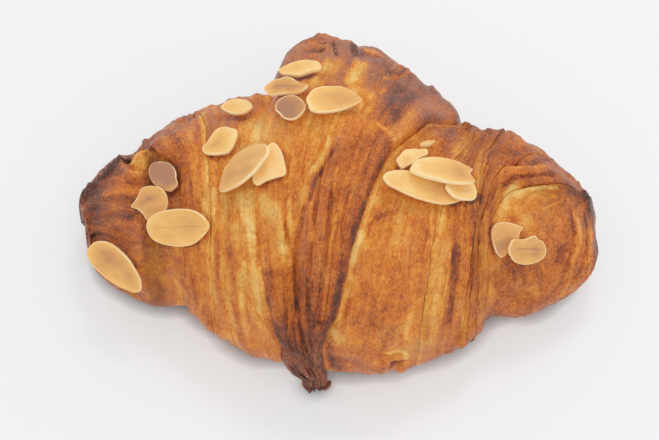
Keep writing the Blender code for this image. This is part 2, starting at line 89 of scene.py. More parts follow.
LIP_BASE, LIP_SHARE = 1.0, 0.75                 # width of a lip: base, and share of its thickness
LIP_OVERHANG = 0.12         # how far a lip bulges over its foot, as a share of its thickness
THICK_LIP = 5.0             # lips thicker than this bulge no further

# Folds, cracks and bulges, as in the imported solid: height, width, way points x, t.
# The first one is the burnt rim of the left lobe.
FOLDS = [
    (1.6, 3, (-64, 216), (-68, 215), (-74, 211), (-77, 200), (-77, 164), (-75, 130)),
    (1.8, 1.8, (-66, 210), (-64, 199), (-61, 191), (-57, 188)), (-5.5, 2.6, (-62.5, 206), (-60.5, 198)),
    (1.8, 2.6, (-61.5, 208), (-57, 205), (-52, 200)), (-2.6, 4, (-54, 196), (-50, 190), (-47, 182)),
    (-1.6, 2.4, (-73, 138), (-70, 146), (-65, 142), (-63, 138)),
    (-1.3, 2.4, (-45.5, 180), (-47, 172), (-47, 162)), (-0.6, 2.6, (-74, 186), (-68, 184), (-60, 184)),
    (-0.9, 2.6, (-74, 168), (-68, 168), (-60, 172)), (-2.2, 2.6, (-9, 220), (-6, 226), (-2, 228)),
    (-2, 2.6, (4, 222), (9, 230), (15, 235)), (-1.8, 2.6, (13, 212), (18, 219), (22, 232)),
    (1.2, 3.2, (0, 218), (3, 232)), (-1.2, 2.8, (2, 210), (3, 204), (5, 198)),
    (-1, 2.2, (-6, 184), (-10, 174), (-13, 157), (-13, 127), (-9, 97)),
    (-0.9, 2, (-2, 165), (-3, 147), (-3, 116)), (-1.4, 3.6, (51, 204), (57, 208)),
    (-1.6, 2, (14, 96), (18, 96)),
]

# Broad unevenness: height, waves along the roll, waves round it, offsets.
LUMPS = [
    (0.55, 0.11, 3, 0.4, 1.1),
    (0.45, 0.23, 5, 2.0, 0.3),
    (0.30, 0.41, 8, 1.2, 4.0),
]

# ---------------------------------------------------------------- relief and browning

# Swellings and hollows that only the looks have, most of them along the outline: height,
# width, way points x, t.
SWELLS = [
    (1.8, 5, (-52, 50), (-30, 50), (0, 50), (30, 50), (44, 50)), (1.4, 4, (58, 50), (62, 50)),
    (1.2, 4, (8, 60), (16, 58)), (1.2, 3.4, (8, 84), (13, 84)), (1.6, 2.2, (18.8, 80)),
    (-1.4, 2.6, (46.4, 58), (46.2, 72)), (-0.9, 2.6, (-46.5, 60), (-46.3, 74)), (1.2, 2.6, (-16.6, 82)),
    (0.8, 2.6, (-38.8, 88)), (-1.6, 3.4, (-62, 76), (-61.4, 90)), (-1.2, 5, (-3, 88), (4, 88)),
    (1, 4, (10, 90), (15, 90)), (-1.4, 6, (-8, 84), (4, 82)), (-0.8, 6, (20, 84), (28, 84)),
    (-1, 3, (-12.6, 86), (-10, 84)), (1.2, 5, (-19, 86), (-27, 84)), (2, 4.4, (-36.6, 87), (-41, 90)),
    (0.9, 5, (-49, 86), (-53, 86)), (2.2, 2.8, (41.4, 88), (39.6, 94), (37.2, 88)),
    (0.8, 6, (53, 82), (63, 90)), (1, 5, (74, 108), (75.5, 130)), (-2, 4, (-76, 126), (-77.4, 145)),
    (1, 3, (-76, 206), (-78, 196), (-78.4, 186)), (-3.4, 3.4, (-78.4, 154), (-77.8, 128)),
    (-1.1, 6, (-70, 216), (-62, 224), (-53, 226)), (-3.2, 2.2, (-61.4, 224), (-59.8, 231)),
    (-1, 2, (-67.4, 224)), (-1.4, 2.6, (-64.4, 240), (-63.4, 250)), (-0.8, 1.8, (-67.4, 209)),
    (-1, 2.2, (-43.6, 242), (-43, 248)), (-1.1, 2.2, (-12.2, 230)), (-1.6, 2, (2.1, 227)),
    (-2, 2.6, (-74, 213), (-75.4, 211)), (-2, 4, (-63.4, 224), (-60, 226), (-57, 226)),
    (1.5, 3, (-48.6, 230), (-47.2, 230)), (-2.6, 2.8, (-42.2, 232)),
    (-1.6, 3, (-44, 226), (-43.4, 240), (-38, 240)), (-1.6, 5, (-47, 232), (-39, 234)),
    (1.8, 5, (-28, 227), (-24, 224)), (1.4, 3.2, (-23.6, 225), (-22, 225)),
    (-2.7, 5, (-20, 238), (-17, 234)), (1, 2.6, (-7, 236), (-3.5, 230)),
    (0.8, 3.4, (-15, 232), (-12, 234)), (-2, 3, (-13.4, 240), (-11.6, 244)),
    (-3.2, 2.6, (1.4, 239), (2.8, 235)), (-0.4, 3, (9, 240)), (1, 1.8, (4.9, 226)),
    (-1, 2.4, (36.1, 242)), (1.1, 2.6, (52.1, 230)), (-1.2, 3, (73.8, 227)),
    (1.6, 2, (4.6, 224), (4.2, 217)), (2.2, 3.4, (-17.2, 226), (-14.8, 231)),
    (-0.8, 2.6, (-11.6, 234), (-9, 234)), (-1.2, 3.2, (2, 236), (4.6, 234)), (-1.4, 2.6, (4.6, 234)),
    (1.3, 4, (12, 236), (16.4, 234)), (1.5, 5, (9, 236), (14.5, 235), (22, 230), (31, 231)),
    (2.5, 2.4, (21, 231), (22.2, 229)), (-0.8, 2.6, (17.6, 231)), (0.2, 3.2, (26, 232)),
    (1.7, 2.6, (29.4, 233)), (1.4, 1.8, (13, 212), (18, 219), (21, 226)), (1.4, 4, (35, 236), (38, 242)),
    (1, 3.4, (40, 236), (42.4, 236)), (-0.8, 3, (46, 231)), (2.2, 5, (49, 226), (52, 222)),
    (1.2, 3, (39.6, 228), (41, 228)), (0.8, 3, (46, 238), (51.4, 238), (53.4, 236)),
    (-1.6, 3, (71.8, 216), (74, 210)), (1.2, 3, (74.6, 201), (76.4, 196)),
    (0.9, 4, (76, 214), (78, 190), (78.4, 150), (77, 108)), (-0.8, 4, (68, 219), (72, 212)),
    (4.2, 2.6, (-62.5, 206), (-60.5, 198)), (1.6, 2.6, (-53.4, 200), (-50.6, 194)),
]

# Marks on the crust, from left to right: height, browning (below 0 is paler), width,
# way points x, t.
MARKS = [
    # Left lobe: burnt rim, rolled lip, hole painted dark as shade and golden flap behind it, streaks that fan
    # out.
    (0.5, 0.42, 2.6, (-65, 212), (-68, 216), (-72.4, 212), (-75.6, 206), (-77.6, 198), (-78.4, 186),
     (-78.4, 166), (-77.8, 152)),
    (-0.5, 0.1, 0.7, (-74, 139), (-71.5, 146)),
    (0.3, 0.26, 1.2, (-65.4, 210), (-70, 209), (-73.4, 202), (-75.4, 190)),
    (-0.4, 0.08, 0.8, (-73, 160), (-66, 162), (-60.5, 159)),
    (-0.3, 0.07, 1, (-73, 174), (-66, 176), (-60, 174)), (0.4, -0.08, 1.3, (-67, 170), (-64.5, 168)),
    (0.35, -0.08, 1, (-71, 150), (-64, 156), (-59, 155)),
    (0.2, -0.08, 0.8, (-70, 180), (-63, 181), (-58.5, 178)), (-2.8, 0.44, 1, (-64, 211), (-63, 206)),
    (0.2, -0.08, 0.8, (-68, 194.5), (-64, 191), (-58.5, 187)),
    (-0.4, 0.07, 0.7, (-66, 197), (-62.4, 187.5), (-58.5, 184)),
    (0.9, -0.1, 0.8, (-65.2, 203), (-63.4, 195), (-61.5, 190), (-58.7, 187), (-56, 186)),
    (-0.3, 0.06, 0.7, (-62.4, 198), (-60, 192), (-57.4, 190)),
    (0.7, -0.3, 0.5, (-61.9, 200), (-61.5, 204), (-60.2, 206.5), (-57.4, 205), (-55.8, 201.5)),
    (0.3, -0.04, 2, (-54.3, 131), (-53.6, 104)), (-0.6, 0.14, 1.2, (-49.6, 176), (-48.4, 170)),
    # Left wraps: pale strips and ribs.
    (-0.6, 0.1, 0.7, (-55.6, 205), (-53.4, 202), (-51.2, 197), (-48.6, 190)),
    (0.5, 0.08, 0.8, (-52, 208), (-48.5, 203), (-46.5, 193)),
    (0.4, 0.04, 0.9, (-43.9, 205), (-43.4, 180), (-43.8, 164), (-43.7, 136), (-41.6, 110)),
    (-0.35, -0.1, 0.6, (-42, 190), (-41.8, 165), (-42, 140), (-40.4, 112)),
    (-0.3, -0.24, 1, (-36, 171), (-35.7, 157), (-36.2, 138), (-35.5, 112)),
    (-0.3, -0.14, 0.8, (-33.3, 160), (-33, 136), (-32, 112)),
    (0.3, 0.1, 0.9, (-31, 176), (-30.8, 156), (-30.4, 130), (-29.4, 108)),
    (-0.2, -0.22, 1.3, (-26.8, 140), (-27.6, 128), (-27.9, 119), (-27.1, 101), (-26.1, 90)),
    (0.35, 0.1, 0.9, (-28.4, 166), (-28, 146), (-26, 122), (-24.4, 102)),
    (0.2, -0.2, 1.5, (-28.2, 172), (-26.2, 162), (-25, 154)), (0.3, -0.2, 2.1, (-26, 172), (-25.2, 158)),
    (-0.5, 0.2, 0.35, (-26.9, 155.2), (-24.5, 155.8), (-22.9, 155.4)),
    (0.3, -0.26, 2.1, (-24.8, 154), (-23.9, 143), (-23, 128)),
    # Last wrap: pale blisters on its golden side, dark fibres that run down into the tail.
    (-0.6, 0.08, 0.7, (-23.2, 168), (-22.6, 156), (-22.3, 142)),
    (0.4, -0.28, 1.7, (-20.9, 169), (-19.8, 164)), (0.3, 0.14, 1.3, (-21.4, 138.5), (-14.6, 138)),
    (0.4, -0.24, 1.5, (-17.5, 166), (-16.6, 157), (-15.4, 148)),
    (-0.6, 0.16, 0.6, (-14.6, 172), (-15.2, 160), (-14.3, 150)),
    (0.4, -0.2, 0.8, (-14.1, 166), (-13.4, 154)),
    (-0.9, 0.16, 0.7, (-9.6, 162), (-11.4, 152), (-12.2, 138), (-11.8, 124), (-10.4, 108), (-9, 96)),
    (0.5, -0.24, 0.8, (-7.4, 176), (-9.2, 170), (-10.2, 164)),
    (0.3, -0.16, 0.7, (-7.6, 164), (-7.8, 157), (-7.2, 150)),
    (-0.6, 0.12, 0.6, (-4.6, 176), (-6.8, 160), (-8, 140), (-8.4, 124), (-7.8, 104)),
    (-0.6, 0.14, 0.5, (-1.8, 181), (-4.4, 176), (-6.6, 171), (-8.4, 164)),
    (0.6, -0.32, 1, (-2.6, 184), (-4.8, 179), (-6.8, 175)),
    (-0.7, 0.14, 0.6, (-1.6, 168), (-3, 154), (-3.6, 142), (-4.8, 130), (-5.4, 116)),
    (0.4, -0.18, 0.5, (-1, 158), (-1.8, 150)), (0.3, -0.14, 0.5, (-0.4, 176), (-1.4, 168)),
    (0.4, -0.1, 0.7, (2.6, 158), (0.2, 146), (-1.4, 134), (-2.8, 120)),
    (-0.6, 0.12, 0.6, (7, 164), (3.6, 150), (0.4, 134), (-2, 118)),
    (0.3, -0.36, 0.4, (10.8, 192), (12.8, 190), (15.8, 187.6)),
    # Back of the last wrap: dark knobs, orange pockets and cracks, golden grooves.
    (-1, 0.34, 0.5, (-9.8, 222), (-8.4, 225), (-6.6, 223)), (0.4, -0.14, 0.4, (-7.8, 219.5), (-5.6, 218)),
    (-0.9, -0.12, 2.2, (-8.6, 223), (-5, 221), (-1.6, 217)), (-1.6, 0.5, 0.7, (-5.6, 222), (-4.4, 220.4)),
    (0.5, -0.16, 0.4, (-6.6, 226), (-5, 224), (-2.6, 223)),
    (0.5, -0.22, 0.8, (-5.4, 231), (-2.4, 230), (0.4, 228)),
    (-0.8, 0.3, 0.4, (-3.6, 226), (-1.6, 222), (-0.4, 217)),
    (0.6, 0.14, 2.6, (-3.4, 216), (0.2, 219), (3.2, 222)), (0.3, -0.3, 0.7, (3, 229), (3.6, 226)),
    (-0.4, 0.16, 0.7, (4.6, 231), (4.9, 226), (4.4, 220), (3.1, 215)),
    (-0.5, -0.34, 1.5, (8.8, 223), (6.8, 217.5), (5, 213), (3.4, 210)),
    (-0.6, 0.18, 0.6, (6.6, 226), (8, 229), (10.6, 228)),
    (-0.8, 0.2, 0.6, (6.6, 228), (8.6, 230), (11.6, 229), (15, 231)),
    (0.5, 0.1, 2.2, (7, 236), (10.6, 236), (14, 236)),
    (0.4, -0.26, 1.3, (8.6, 231), (11.6, 233), (15, 234)),
    (0.5, 0.14, 2.8, (10.4, 216), (13.6, 216), (17, 216)),
    (-0.3, 0.2, 0.4, (14.2, 221), (17, 224.6), (19.6, 228)),
    (-0.9, -0.22, 0.6, (13.4, 219), (16.8, 222.5), (19.8, 225.5), (22.4, 229)),
    (0.4, 0.14, 3.6, (15, 226), (19.6, 219), (21.6, 212)),
    # Right wraps: pale band beside the last wrap, streaks, ribs, small hole in front, painted dark as shade.
    (0.2, -0.16, 1.6, (-1.4, 110), (1.2, 106)),
    (-0.5, 0.12, 0.9, (6.5, 147), (3.6, 132), (1.9, 120), (0.8, 110)),
    (0.3, -0.2, 1.2, (4.2, 134), (2.8, 127)), (0.5, -0.14, 2, (1.7, 110), (5.4, 106)),
    (0.3, -0.24, 1.8, (6.4, 152), (5, 143)), (0.2, -0.04, 1.8, (9.8, 165), (8.2, 159)),
    (0.2, -0.08, 1.5, (10.6, 165), (9.4, 161.5)), (0.4, 0.06, 2.6, (14.4, 150), (10.4, 134), (8, 120)),
    (-0.6, 0.12, 0.6, (7.6, 151), (8.8, 156), (10.8, 159.6), (13.6, 161.6), (16.6, 163)),
    (0.5, 0.12, 1.6, (14, 90), (17, 89)), (0.4, -0.1, 1.6, (17.6, 160), (15.6, 150)),
    (-2.4, 0.34, 0.9, (16, 90), (18.4, 88)),
    (0.7, -0.34, 1, (14.4, 97), (16.6, 97), (18.8, 96), (19.8, 92)),
    (0.4, 0.06, 2.6, (22.4, 165), (20.2, 148), (16.8, 137), (14.6, 121), (13.4, 110)),
    (0.3, -0.22, 1.2, (19.8, 117), (19.2, 108)),
    (-0.4, 0.03, 1.6, (24.6, 160), (24, 143), (23, 128), (22.8, 112)),
    (0.5, -0.2, 1.9, (29.6, 170), (28.8, 155), (28.8, 144), (27.8, 130), (27.4, 114), (27, 97)),
    (0.6, 0.12, 2.6, (27, 199), (32.4, 206), (35.4, 212)),
    (-0.4, 0.22, 1.2, (33.3, 157), (33.1, 148), (32.6, 128), (31.6, 108)),
    (0.5, 0.1, 0.9, (35, 224), (32.4, 208), (30.6, 194)),
    (0.4, -0.06, 0.6, (35.2, 168), (35.1, 148), (34.8, 128), (34.2, 108)),
    (-0.4, -0.2, 1, (38.6, 222), (35, 205), (33, 190)),
    (-0.35, -0.12, 0.6, (37, 160), (36.9, 144), (36.4, 118), (36, 100)),
    (-0.6, -0.12, 1.4, (38.4, 214), (37, 208), (34.6, 200)),
    (0.3, 0.04, 1.5, (38.4, 176), (38.6, 160), (38.7, 145), (38, 124)),
    (0.5, 0.12, 0.9, (46, 236), (41, 209), (38.6, 196), (37, 180)),
    (0.3, -0.22, 0.9, (42.4, 166), (42.3, 145), (42.2, 120), (41.6, 98)),
    (-0.4, -0.2, 1, (49, 234), (44, 209), (41, 196), (39.6, 180)),
    (0.3, -0.18, 0.7, (48.4, 192), (46, 173)), (-1.8, -0.1, 1.2, (50.2, 200), (53.5, 202)),
    (-1.2, 0.14, 0.8, (49, 182), (52, 188), (57, 192), (64, 199)),
    (0.5, -0.08, 1, (50, 193), (56, 198), (62, 205)),
    (-1, 0.14, 1.3, (54.2, 203), (57.8, 206), (63.4, 226)),
    # Right lobe: ridge, deep fold, dark shoulder, lines parallel to the end.
    (0.3, -0.12, 2, (50.5, 122), (52, 118)),
    (0.6, -0.42, 0.7, (48.6, 176), (51, 180.5), (54.6, 181.6), (57, 183.6), (61, 187), (65, 190)),
    (0.3, -0.12, 1.6, (57, 110), (59, 106)), (0.3, -0.24, 0.35, (60.5, 173), (63, 176), (65, 179)),
    (-0.5, 0.12, 0.8, (69, 176), (70, 156), (68.4, 132), (65.7, 110)),
    (0.45, -0.24, 1.1, (71.4, 170), (72.2, 152), (69.6, 130), (67.4, 96)),
    (-0.5, 0.12, 0.7, (73.9, 180), (74.7, 157), (73.1, 132), (70.8, 110)),
    (0.4, -0.12, 0.6, (75.6, 168), (76, 150), (74.6, 130)),
]

# Stains on the crust and two painted shadows beside slices, from left to right: browning, width, way points
# x, t.
STAINS_AND_SHADOWS = [
    # Left lobe.
    (0.26, 1.8, (-78, 164), (-77.4, 150), (-76.4, 134)), (0.08, 2.6, (-76, 190), (-73.6, 186)),
    (0.12, 5, (-70, 204), (-73, 192), (-74, 170), (-73.4, 150)),
    (0.07, 7, (-71, 190), (-71, 172), (-68, 154), (-62, 146)), (0.08, 2.2, (-69, 210), (-66.4, 205)),
    (-0.14, 1.6, (-63, 203), (-60.4, 205), (-58.6, 202)), (-0.32, 2, (-60.2, 201.5), (-58, 199)),
    (-0.12, 1.6, (-57.6, 196), (-57.2, 186)),
    (-0.11, 3.6, (-59, 132), (-56.4, 126), (-54.4, 114), (-54, 98)),
    (-0.05, 2, (-53.6, 142), (-53.4, 126), (-54, 116)), (0.08, 1.6, (-49, 150), (-48.2, 132), (-48, 116)),
    (0.08, 1.4, (-47.4, 144), (-47.2, 132)), (-0.24, 1.3, (-47.2, 138), (-46.8, 104), (-47.2, 86)),
    # Left wraps.
    (-0.06, 2, (-58, 214), (-54, 214)), (-0.1, 1.8, (-53, 204), (-50.4, 198), (-48, 190)),
    (0.14, 2.2, (-48.4, 188), (-48, 180)), (-0.08, 3, (-43, 214), (-42.6, 200), (-42.4, 188)),
    (-0.26, 1.2, (-41, 218), (-39.9, 208), (-39.4, 195), (-38.8, 183), (-38.2, 172)),
    (-0.18, 0.9, (-38.4, 168), (-38.9, 156), (-39.3, 140)),
    (-0.1, 1, (-39.2, 205), (-38.4, 180), (-38.2, 160)), (-0.08, 1.2, (-37.4, 165), (-37.2, 155)),
    (-0.16, 0.9, (-36.1, 162), (-36, 152), (-36, 138)), (-0.09, 2.4, (-30.4, 88), (-33, 86)),
    (-0.09, 2.2, (-31.6, 172), (-30, 165)), (-0.1, 1, (-30.8, 138), (-31, 120), (-30, 100)),
    (-0.07, 3, (-32, 196), (-30, 200), (-24, 200)), (-0.16, 2, (-28.6, 156), (-28.4, 140), (-27.8, 118)),
    (-0.15, 3.6, (-25.2, 206), (-26, 200), (-27, 195), (-29.6, 188)),
    (-0.07, 2.6, (-24.6, 222), (-24, 212)), (-0.08, 3, (-24, 210), (-25, 202), (-23.4, 192)),
    (-0.1, 1.2, (-23.4, 160), (-23.2, 152)), (-0.16, 3, (-22.3, 206), (-21.7, 194), (-22.8, 189)),
    (-0.12, 1.7, (-22.8, 124), (-21, 100)), (0.13, 1.4, (-20.2, 126), (-20.2, 112), (-18.8, 104)),
    # Last wrap.
    # The first stain on the next line is a painted shadow beside slices 12 and 13.
    (0.14, 1.4, (-23.4, 179), (-22, 176)), (-0.12, 3, (-22, 196), (-19.4, 188), (-18, 181)),
    (0.07, 2.6, (-19.6, 172), (-14.6, 166)), (-0.15, 1.8, (-16.2, 148), (-16.6, 130), (-17.6, 118)),
    (-0.12, 1, (-10.4, 124), (-10.9, 112), (-10.6, 104)),
    (-0.1, 2, (-11.2, 118), (-10.6, 108), (-9.8, 98)), (-0.07, 2.2, (-9, 165), (-10, 150), (-10.6, 135)),
    (-0.12, 2.2, (-8.2, 192), (-6.6, 184), (-6.4, 177)), (-0.08, 4, (-6, 202), (-4, 194), (-4, 188)),
    (-0.14, 2.4, (-1.2, 148), (-2.6, 134), (-3.8, 122)), (0.08, 2, (-3.8, 205), (1, 206)),
    (-0.14, 1, (3.8, 147), (2.8, 140), (1.2, 130), (-0.1, 118)),
    (-0.1, 2.4, (4.4, 202), (2.5, 194), (1.5, 186)), (0.08, 2, (7, 174), (4.6, 163), (2.8, 154)),
    (-0.22, 0.7, (5.4, 197), (6.6, 200)), (-0.07, 2.6, (4.6, 172), (8, 188), (9, 196)),
    (-0.12, 3.4, (8, 203), (7.8, 197), (8.4, 192)), (0.02, 2.6, (11.4, 187), (8.4, 177), (6, 165)),
    (-0.22, 0.6, (9, 203), (10.4, 206)), (0.1, 2, (15.6, 212), (14.4, 200)),
    (0.08, 2, (16.6, 198), (15.6, 194)), (0.1, 2.4, (17.6, 206), (17, 196)),
    (-0.26, 1.6, (16.2, 187), (18, 193), (20.8, 201), (24.2, 210), (27.2, 215)),
    # Back of the last wrap.
    (0.18, 2.6, (-17, 221), (-14, 216), (-11.6, 212)), (0.2, 2.2, (-15.6, 216), (-10.4, 215)),
    (0.1, 2, (-14.6, 219), (-11, 215)), (0.12, 3.6, (-16.4, 228), (-13.6, 232), (-9.4, 234), (-4, 233)),
    (-0.28, 1, (-3, 213), (-5, 210), (-7.4, 204)), (0.12, 2.4, (-6, 222), (0, 224)),
    (-0.14, 2, (-5, 213), (2, 213)), (-0.08, 2, (-0.4, 212), (-1.8, 207)),
    (0.14, 2, (2.9, 214), (1.1, 211)), (-0.1, 1.4, (4, 212), (2.6, 208)),
    (0.34, 1.8, (4.8, 222.6), (9.5, 223)), (0.12, 1.6, (8.4, 228), (11.4, 226), (14, 225)),
    (-0.2, 0.6, (12.4, 209), (13.8, 212)), (0.1, 3.2, (20, 232), (24.6, 226), (28.6, 228)),
    (-0.18, 1.2, (28.6, 218), (31.6, 221), (34, 225)),
    # Right wraps.
    (0.24, 1.8, (-3, 106), (-2.4, 94), (-2.2, 82)), (0.12, 1.6, (0.4, 112), (2, 108)),
    (0.09, 2, (1.8, 133), (3.4, 124), (4.4, 116)), (0.08, 3.4, (13.4, 126), (11.6, 112), (11.6, 100)),
    (-0.16, 1.2, (16.4, 183), (13.2, 177), (11.2, 171), (9.4, 165)), (-0.08, 2, (12.6, 166), (15, 161)),
    (-0.1, 2.2, (15, 168), (19, 166), (22, 166)), (-0.08, 1.6, (21.8, 126), (21.4, 112), (21.2, 100)),
    (-0.06, 1.6, (19.4, 184), (23, 193), (27, 201)), (-0.16, 0.5, (27.2, 172), (26.2, 160), (26.6, 148)),
    (0.1, 1.6, (28.6, 152), (28.2, 142)), (-0.14, 0.5, (31.6, 152), (31.6, 140), (30.4, 124)),
    (-0.12, 1.2, (32, 169), (32.4, 160)), (0.08, 1.6, (32.6, 172), (32, 156)),
    (0.08, 2, (34, 146), (33.6, 128), (33, 116)), (0.09, 1.4, (34.8, 164), (35, 154)),
    (-0.07, 4, (31, 222), (36, 214), (38, 206)), (0.07, 3, (33, 196), (38, 195)),
    # The first stain on the next line is a painted shadow under slices 14 and 15.
    (0.16, 1.2, (31, 170.5), (36, 171), (40.4, 172.5)), (-0.1, 1.2, (36.2, 116), (36, 100)),
    (-0.12, 1.6, (38.2, 102), (37.8, 92)), (-0.08, 2.4, (42, 196), (40.6, 178)),
    (0.1, 2, (50, 212), (52, 209)), (-0.06, 3, (55, 196), (62, 198), (68, 200)),
    # Right lobe.
    (-0.2, 1.4, (44.6, 118), (45.2, 100)), (-0.32, 1.8, (47, 160), (47.8, 168), (49.6, 175), (53, 181)),
    (-0.16, 1.4, (50.6, 158), (51.2, 148)), (-0.14, 2.2, (51.4, 170), (53.5, 175), (57, 175)),
    (-0.24, 2.4, (53.6, 168), (54.8, 162)), (-0.16, 1.6, (54, 178.5), (59, 181)),
    (0.02, 3.4, (56, 176), (60, 182), (64, 186)), (-0.08, 2, (54, 179), (60, 181), (66, 184)),
    (-0.1, 4, (58, 166), (64, 172), (65, 165)), (0.07, 3, (62, 178), (66, 168)),
    (0.1, 3, (62, 162), (66, 150), (66, 134)), (0.16, 3.2, (66, 178), (70, 174), (68.6, 162)),
    (-0.08, 1.6, (70, 150), (68.6, 136)), (0.12, 2.2, (71.6, 184), (73.2, 168)),
    (0.06, 1.8, (73.4, 186), (73.8, 176)), (0.24, 2.6, (70, 198), (73, 200), (75.5, 196), (76.5, 182)),
    (0.12, 2, (75.2, 198), (75.6, 186), (75, 172)),
    (0.3, 2.6, (75.4, 212), (77.4, 200), (78.2, 170), (78, 147), (76.6, 116)),
    (0.08, 2.4, (77.6, 176), (77.8, 160)),
]

# Stretches of crust between the edges, left to right: width, and strength of the streaks
# along the wrap and of the blisters.
STRETCHES = [(34, 0.42, 1.2), (9, 1.2, 0.6), (15, 1.1, 0.6), (34, 1, 0.55), (19, 0.7, 1),
             (13, 0.9, 0.8), (8, 1.2, 0.55), (10, 0.9, 0.65), (34, 0.5, 1.3)]
LEFT_END, LAST = 0, 3       # the left lobe and the last wrap
# Width over which the looks of two stretches blend, edge by edge.
EDGE_BLEND = (0.4, 3.0, 0.4, 0.4, 3.0, 3.0, 2.0, 0.4)

# Browning of each stretch at the angles BAKE_ANGLES: 0 is raw dough, 1 is burnt.
BAKE_ANGLES = (0, 60, 100, 140, 180, 215, 260, 320)
BAKE = [
    (0.80, 0.76, 0.64, 0.69, 0.70, 0.72, 0.76, 0.80),
    (0.80, 0.68, 0.56, 0.58, 0.60, 0.66, 0.70, 0.78),
    (0.80, 0.64, 0.50, 0.52, 0.46, 0.58, 0.68, 0.78),
    (0.80, 0.88, 0.80, 0.60, 0.55, 0.66, 0.72, 0.78),
    (0.80, 0.70, 0.60, 0.55, 0.48, 0.62, 0.68, 0.78),
    (0.80, 0.68, 0.56, 0.56, 0.56, 0.66, 0.70, 0.78),
    (0.80, 0.70, 0.62, 0.65, 0.66, 0.68, 0.70, 0.78),
    (0.80, 0.70, 0.63, 0.65, 0.66, 0.68, 0.70, 0.78),
    (0.80, 0.74, 0.66, 0.63, 0.56, 0.68, 0.74, 0.80),
]

# The last wrap is golden on its left, dark along its middle, and brown on its right.
# At each angle: where the middle band starts and ends across the wrap, and what each of
# the three bands adds to the browning.
BAND_ANGLES = (0, 60, 95, 110, 125, 137, 141, 160, 180, 197, 212, 240)
BAND_LIMITS = [
    (0.60, 0.60, 0.58, 0.55, 0.47, 0.43, 0.42, 0.41, 0.50, 0.60, 0.70, 0.80),
    (0.85, 0.85, 0.82, 0.80, 0.79, 0.76, 0.75, 0.66, 0.66, 0.72, 0.80, 0.90),
]
BAND_BAKE = [
    (0.00, 0.00, 0.06, 0.10, 0.09, 0.08, -0.09, -0.10, -0.10, -0.12, -0.08, 0.00),
    (0.00, 0.00, 0.06, 0.12, 0.13, 0.11, 0.10, 0.10, 0.09, 0.02, 0.02, 0.04),
    (0.00, 0.00, 0.00, 0.08, 0.15, 0.19, 0.20, 0.17, 0.11, 0.09, 0.11, 0.09),
]

# Pale dough that shows beside an edge: width and strength, edge by edge.
LEE = [(1.2, 0.12), (1.2, 0.12), (3.2, 0.14), (1.8, 0.12), (2.0, 0.12), (1.0, 0.12),
       (0.9, 0.10), (1.6, 0.12)]

# Millimetres by which the roll's ends are moved: see end_nudge.
LEFT_BELOW, LEFT_ABOVE = 1.3, 0.9
RIGHT_BACK, RIGHT_FRONT = 0.5, 1.0

# What each kind of grain adds to the height in millimetres, and to the browning, and what in
# its stretch it grows with.
RELIEF = {"streak": (0.60, "streaky"), "blister": (0.36, "bumpy"), "flake": (0.18, "streaky"),
          "dash": (0.10, "even"), "fibre": (-0.24, "streaky"), "wave": (0.45, "even")}
BROWNING = {"streak": (0.12, "streaky"), "dash": (0.04, "even"), "patch": (0.13, "half_bumpy"),
            "blister": (0.07, "half_bumpy"), "flake": (-0.08, "even"), "fibre": (0.06, "streaky")}
RIBBON_RISE = 0.5           # how far the dark bands of the last wrap stand above its golden one
BAKE_SHIFT = 0.03           # added to the browning everywhere

# ---------------------------------------------------------------- mesh density

# Crust pieces: first and last stretch, columns in each stretch, rows round the roll.
CRUST_PIECES = {
    "crust_left_lobe": (0, 0, (150,), 360),
    "crust_left": (1, 2, (56, 86), 350),
    "crust_last_wrap": (3, 3, (190,), 400),
    "crust_right": (4, 7, (92, 60, 30, 32), 370),
    "crust_right_lobe": (8, 8, (150,), 350),
}
# Columns across a lip: share of its width, and how far it curls over its foot there.
LIP_STEPS = (0.0, 0.02, 0.06, 0.13, 0.22, 0.34, 0.5, 0.72, 1.0)
LIP_CURL = (-0.6, 0.1, 0.7, 1.0, 0.95, 0.75, 0.5, 0.2, 0.0)
FOOT_DEPTH = 0.5            # how deep a piece's own lip is rooted
UNDER = ((2.6, 0.9), (1.6, 0.9), (0.8, 0.8), (0.3, 0.4), (0, 0))   # reach under a lip, depth
BASE_HALF_ANGLE = 50.0      # angles below this are the flat base
BASE_SHARE = 0.06           # share of the rows that the base gets
CAP_SHARE = 0.55            # size of the ring that closes a piece's end
ALONG = 0.62                # millimetres round the roll for each degree, for the streaks

# Sums of flat noise: strength, size across the wraps, size along them, layer.
STREAK_NOISE = [(0.55, 2.3, 46, 1), (0.36, 1.15, 24, 2), (0.26, 0.6, 11, 3)]
FLAKE_NOISE = [(1, 3.1, 13, 5), (0.4, 1.1, 5, 6)]
# Sums of solid noise: strength, size, layer.
BLISTER_NOISE = [(0.6, 4.5, 1), (0.5, 2.1, 2), (0.4, 1.1, 3)]
PATCH_NOISE = [(0.7, 8, 9), (0.3, 3.6, 10)]
RIM_NOISE = [(1.2, 2.6, 6), (1.2, 1.3, 7)]
STROKE_NOISE = [(0.20, 2.6, 20), (0.14, 1.2, 21)]
STROKE_POWER = 2.6          # how sharply a stroke fades at its width
RIM_WIDTH = 3.0             # reach of the ragged relief along the burnt rim

NOISE_SIZE = 256
random = np.random.default_rng(11)
LATTICE = random.random((NOISE_SIZE, NOISE_SIZE))
BLOCK_SIZE = 48
BLOCK = random.random((BLOCK_SIZE, BLOCK_SIZE, BLOCK_SIZE))


# ================================================================ curves, noise

def smooth_curve(keys, values, where, period=None):
    """Reads a smooth curve through the points keys, values at the places where."""
    keys = np.asarray(keys, float)
    values = np.asarray(values, float)
    if period:
        keys = np.concatenate([keys[-2:] - period, keys, keys[:2] + period])
        values = np.concatenate([values[-2:], values, values[:2]])
        where = np.mod(where - keys[2], period) + keys[2]
    slopes = np.gradient(values, keys)
    i = np.clip(np.searchsorted(keys, where, side="right") - 1, 0, len(keys) - 2)
    width = keys[i + 1] - keys[i]
    u = np.clip((where - keys[i]) / width, 0, 1)
    return ((1 + 2 * u) * (1 - u) ** 2 * values[i]
            + u * (1 - u) ** 2 * width * slopes[i]
            + u * u * (3 - 2 * u) * values[i + 1]
            + u * u * (u - 1) * width * slopes[i + 1])


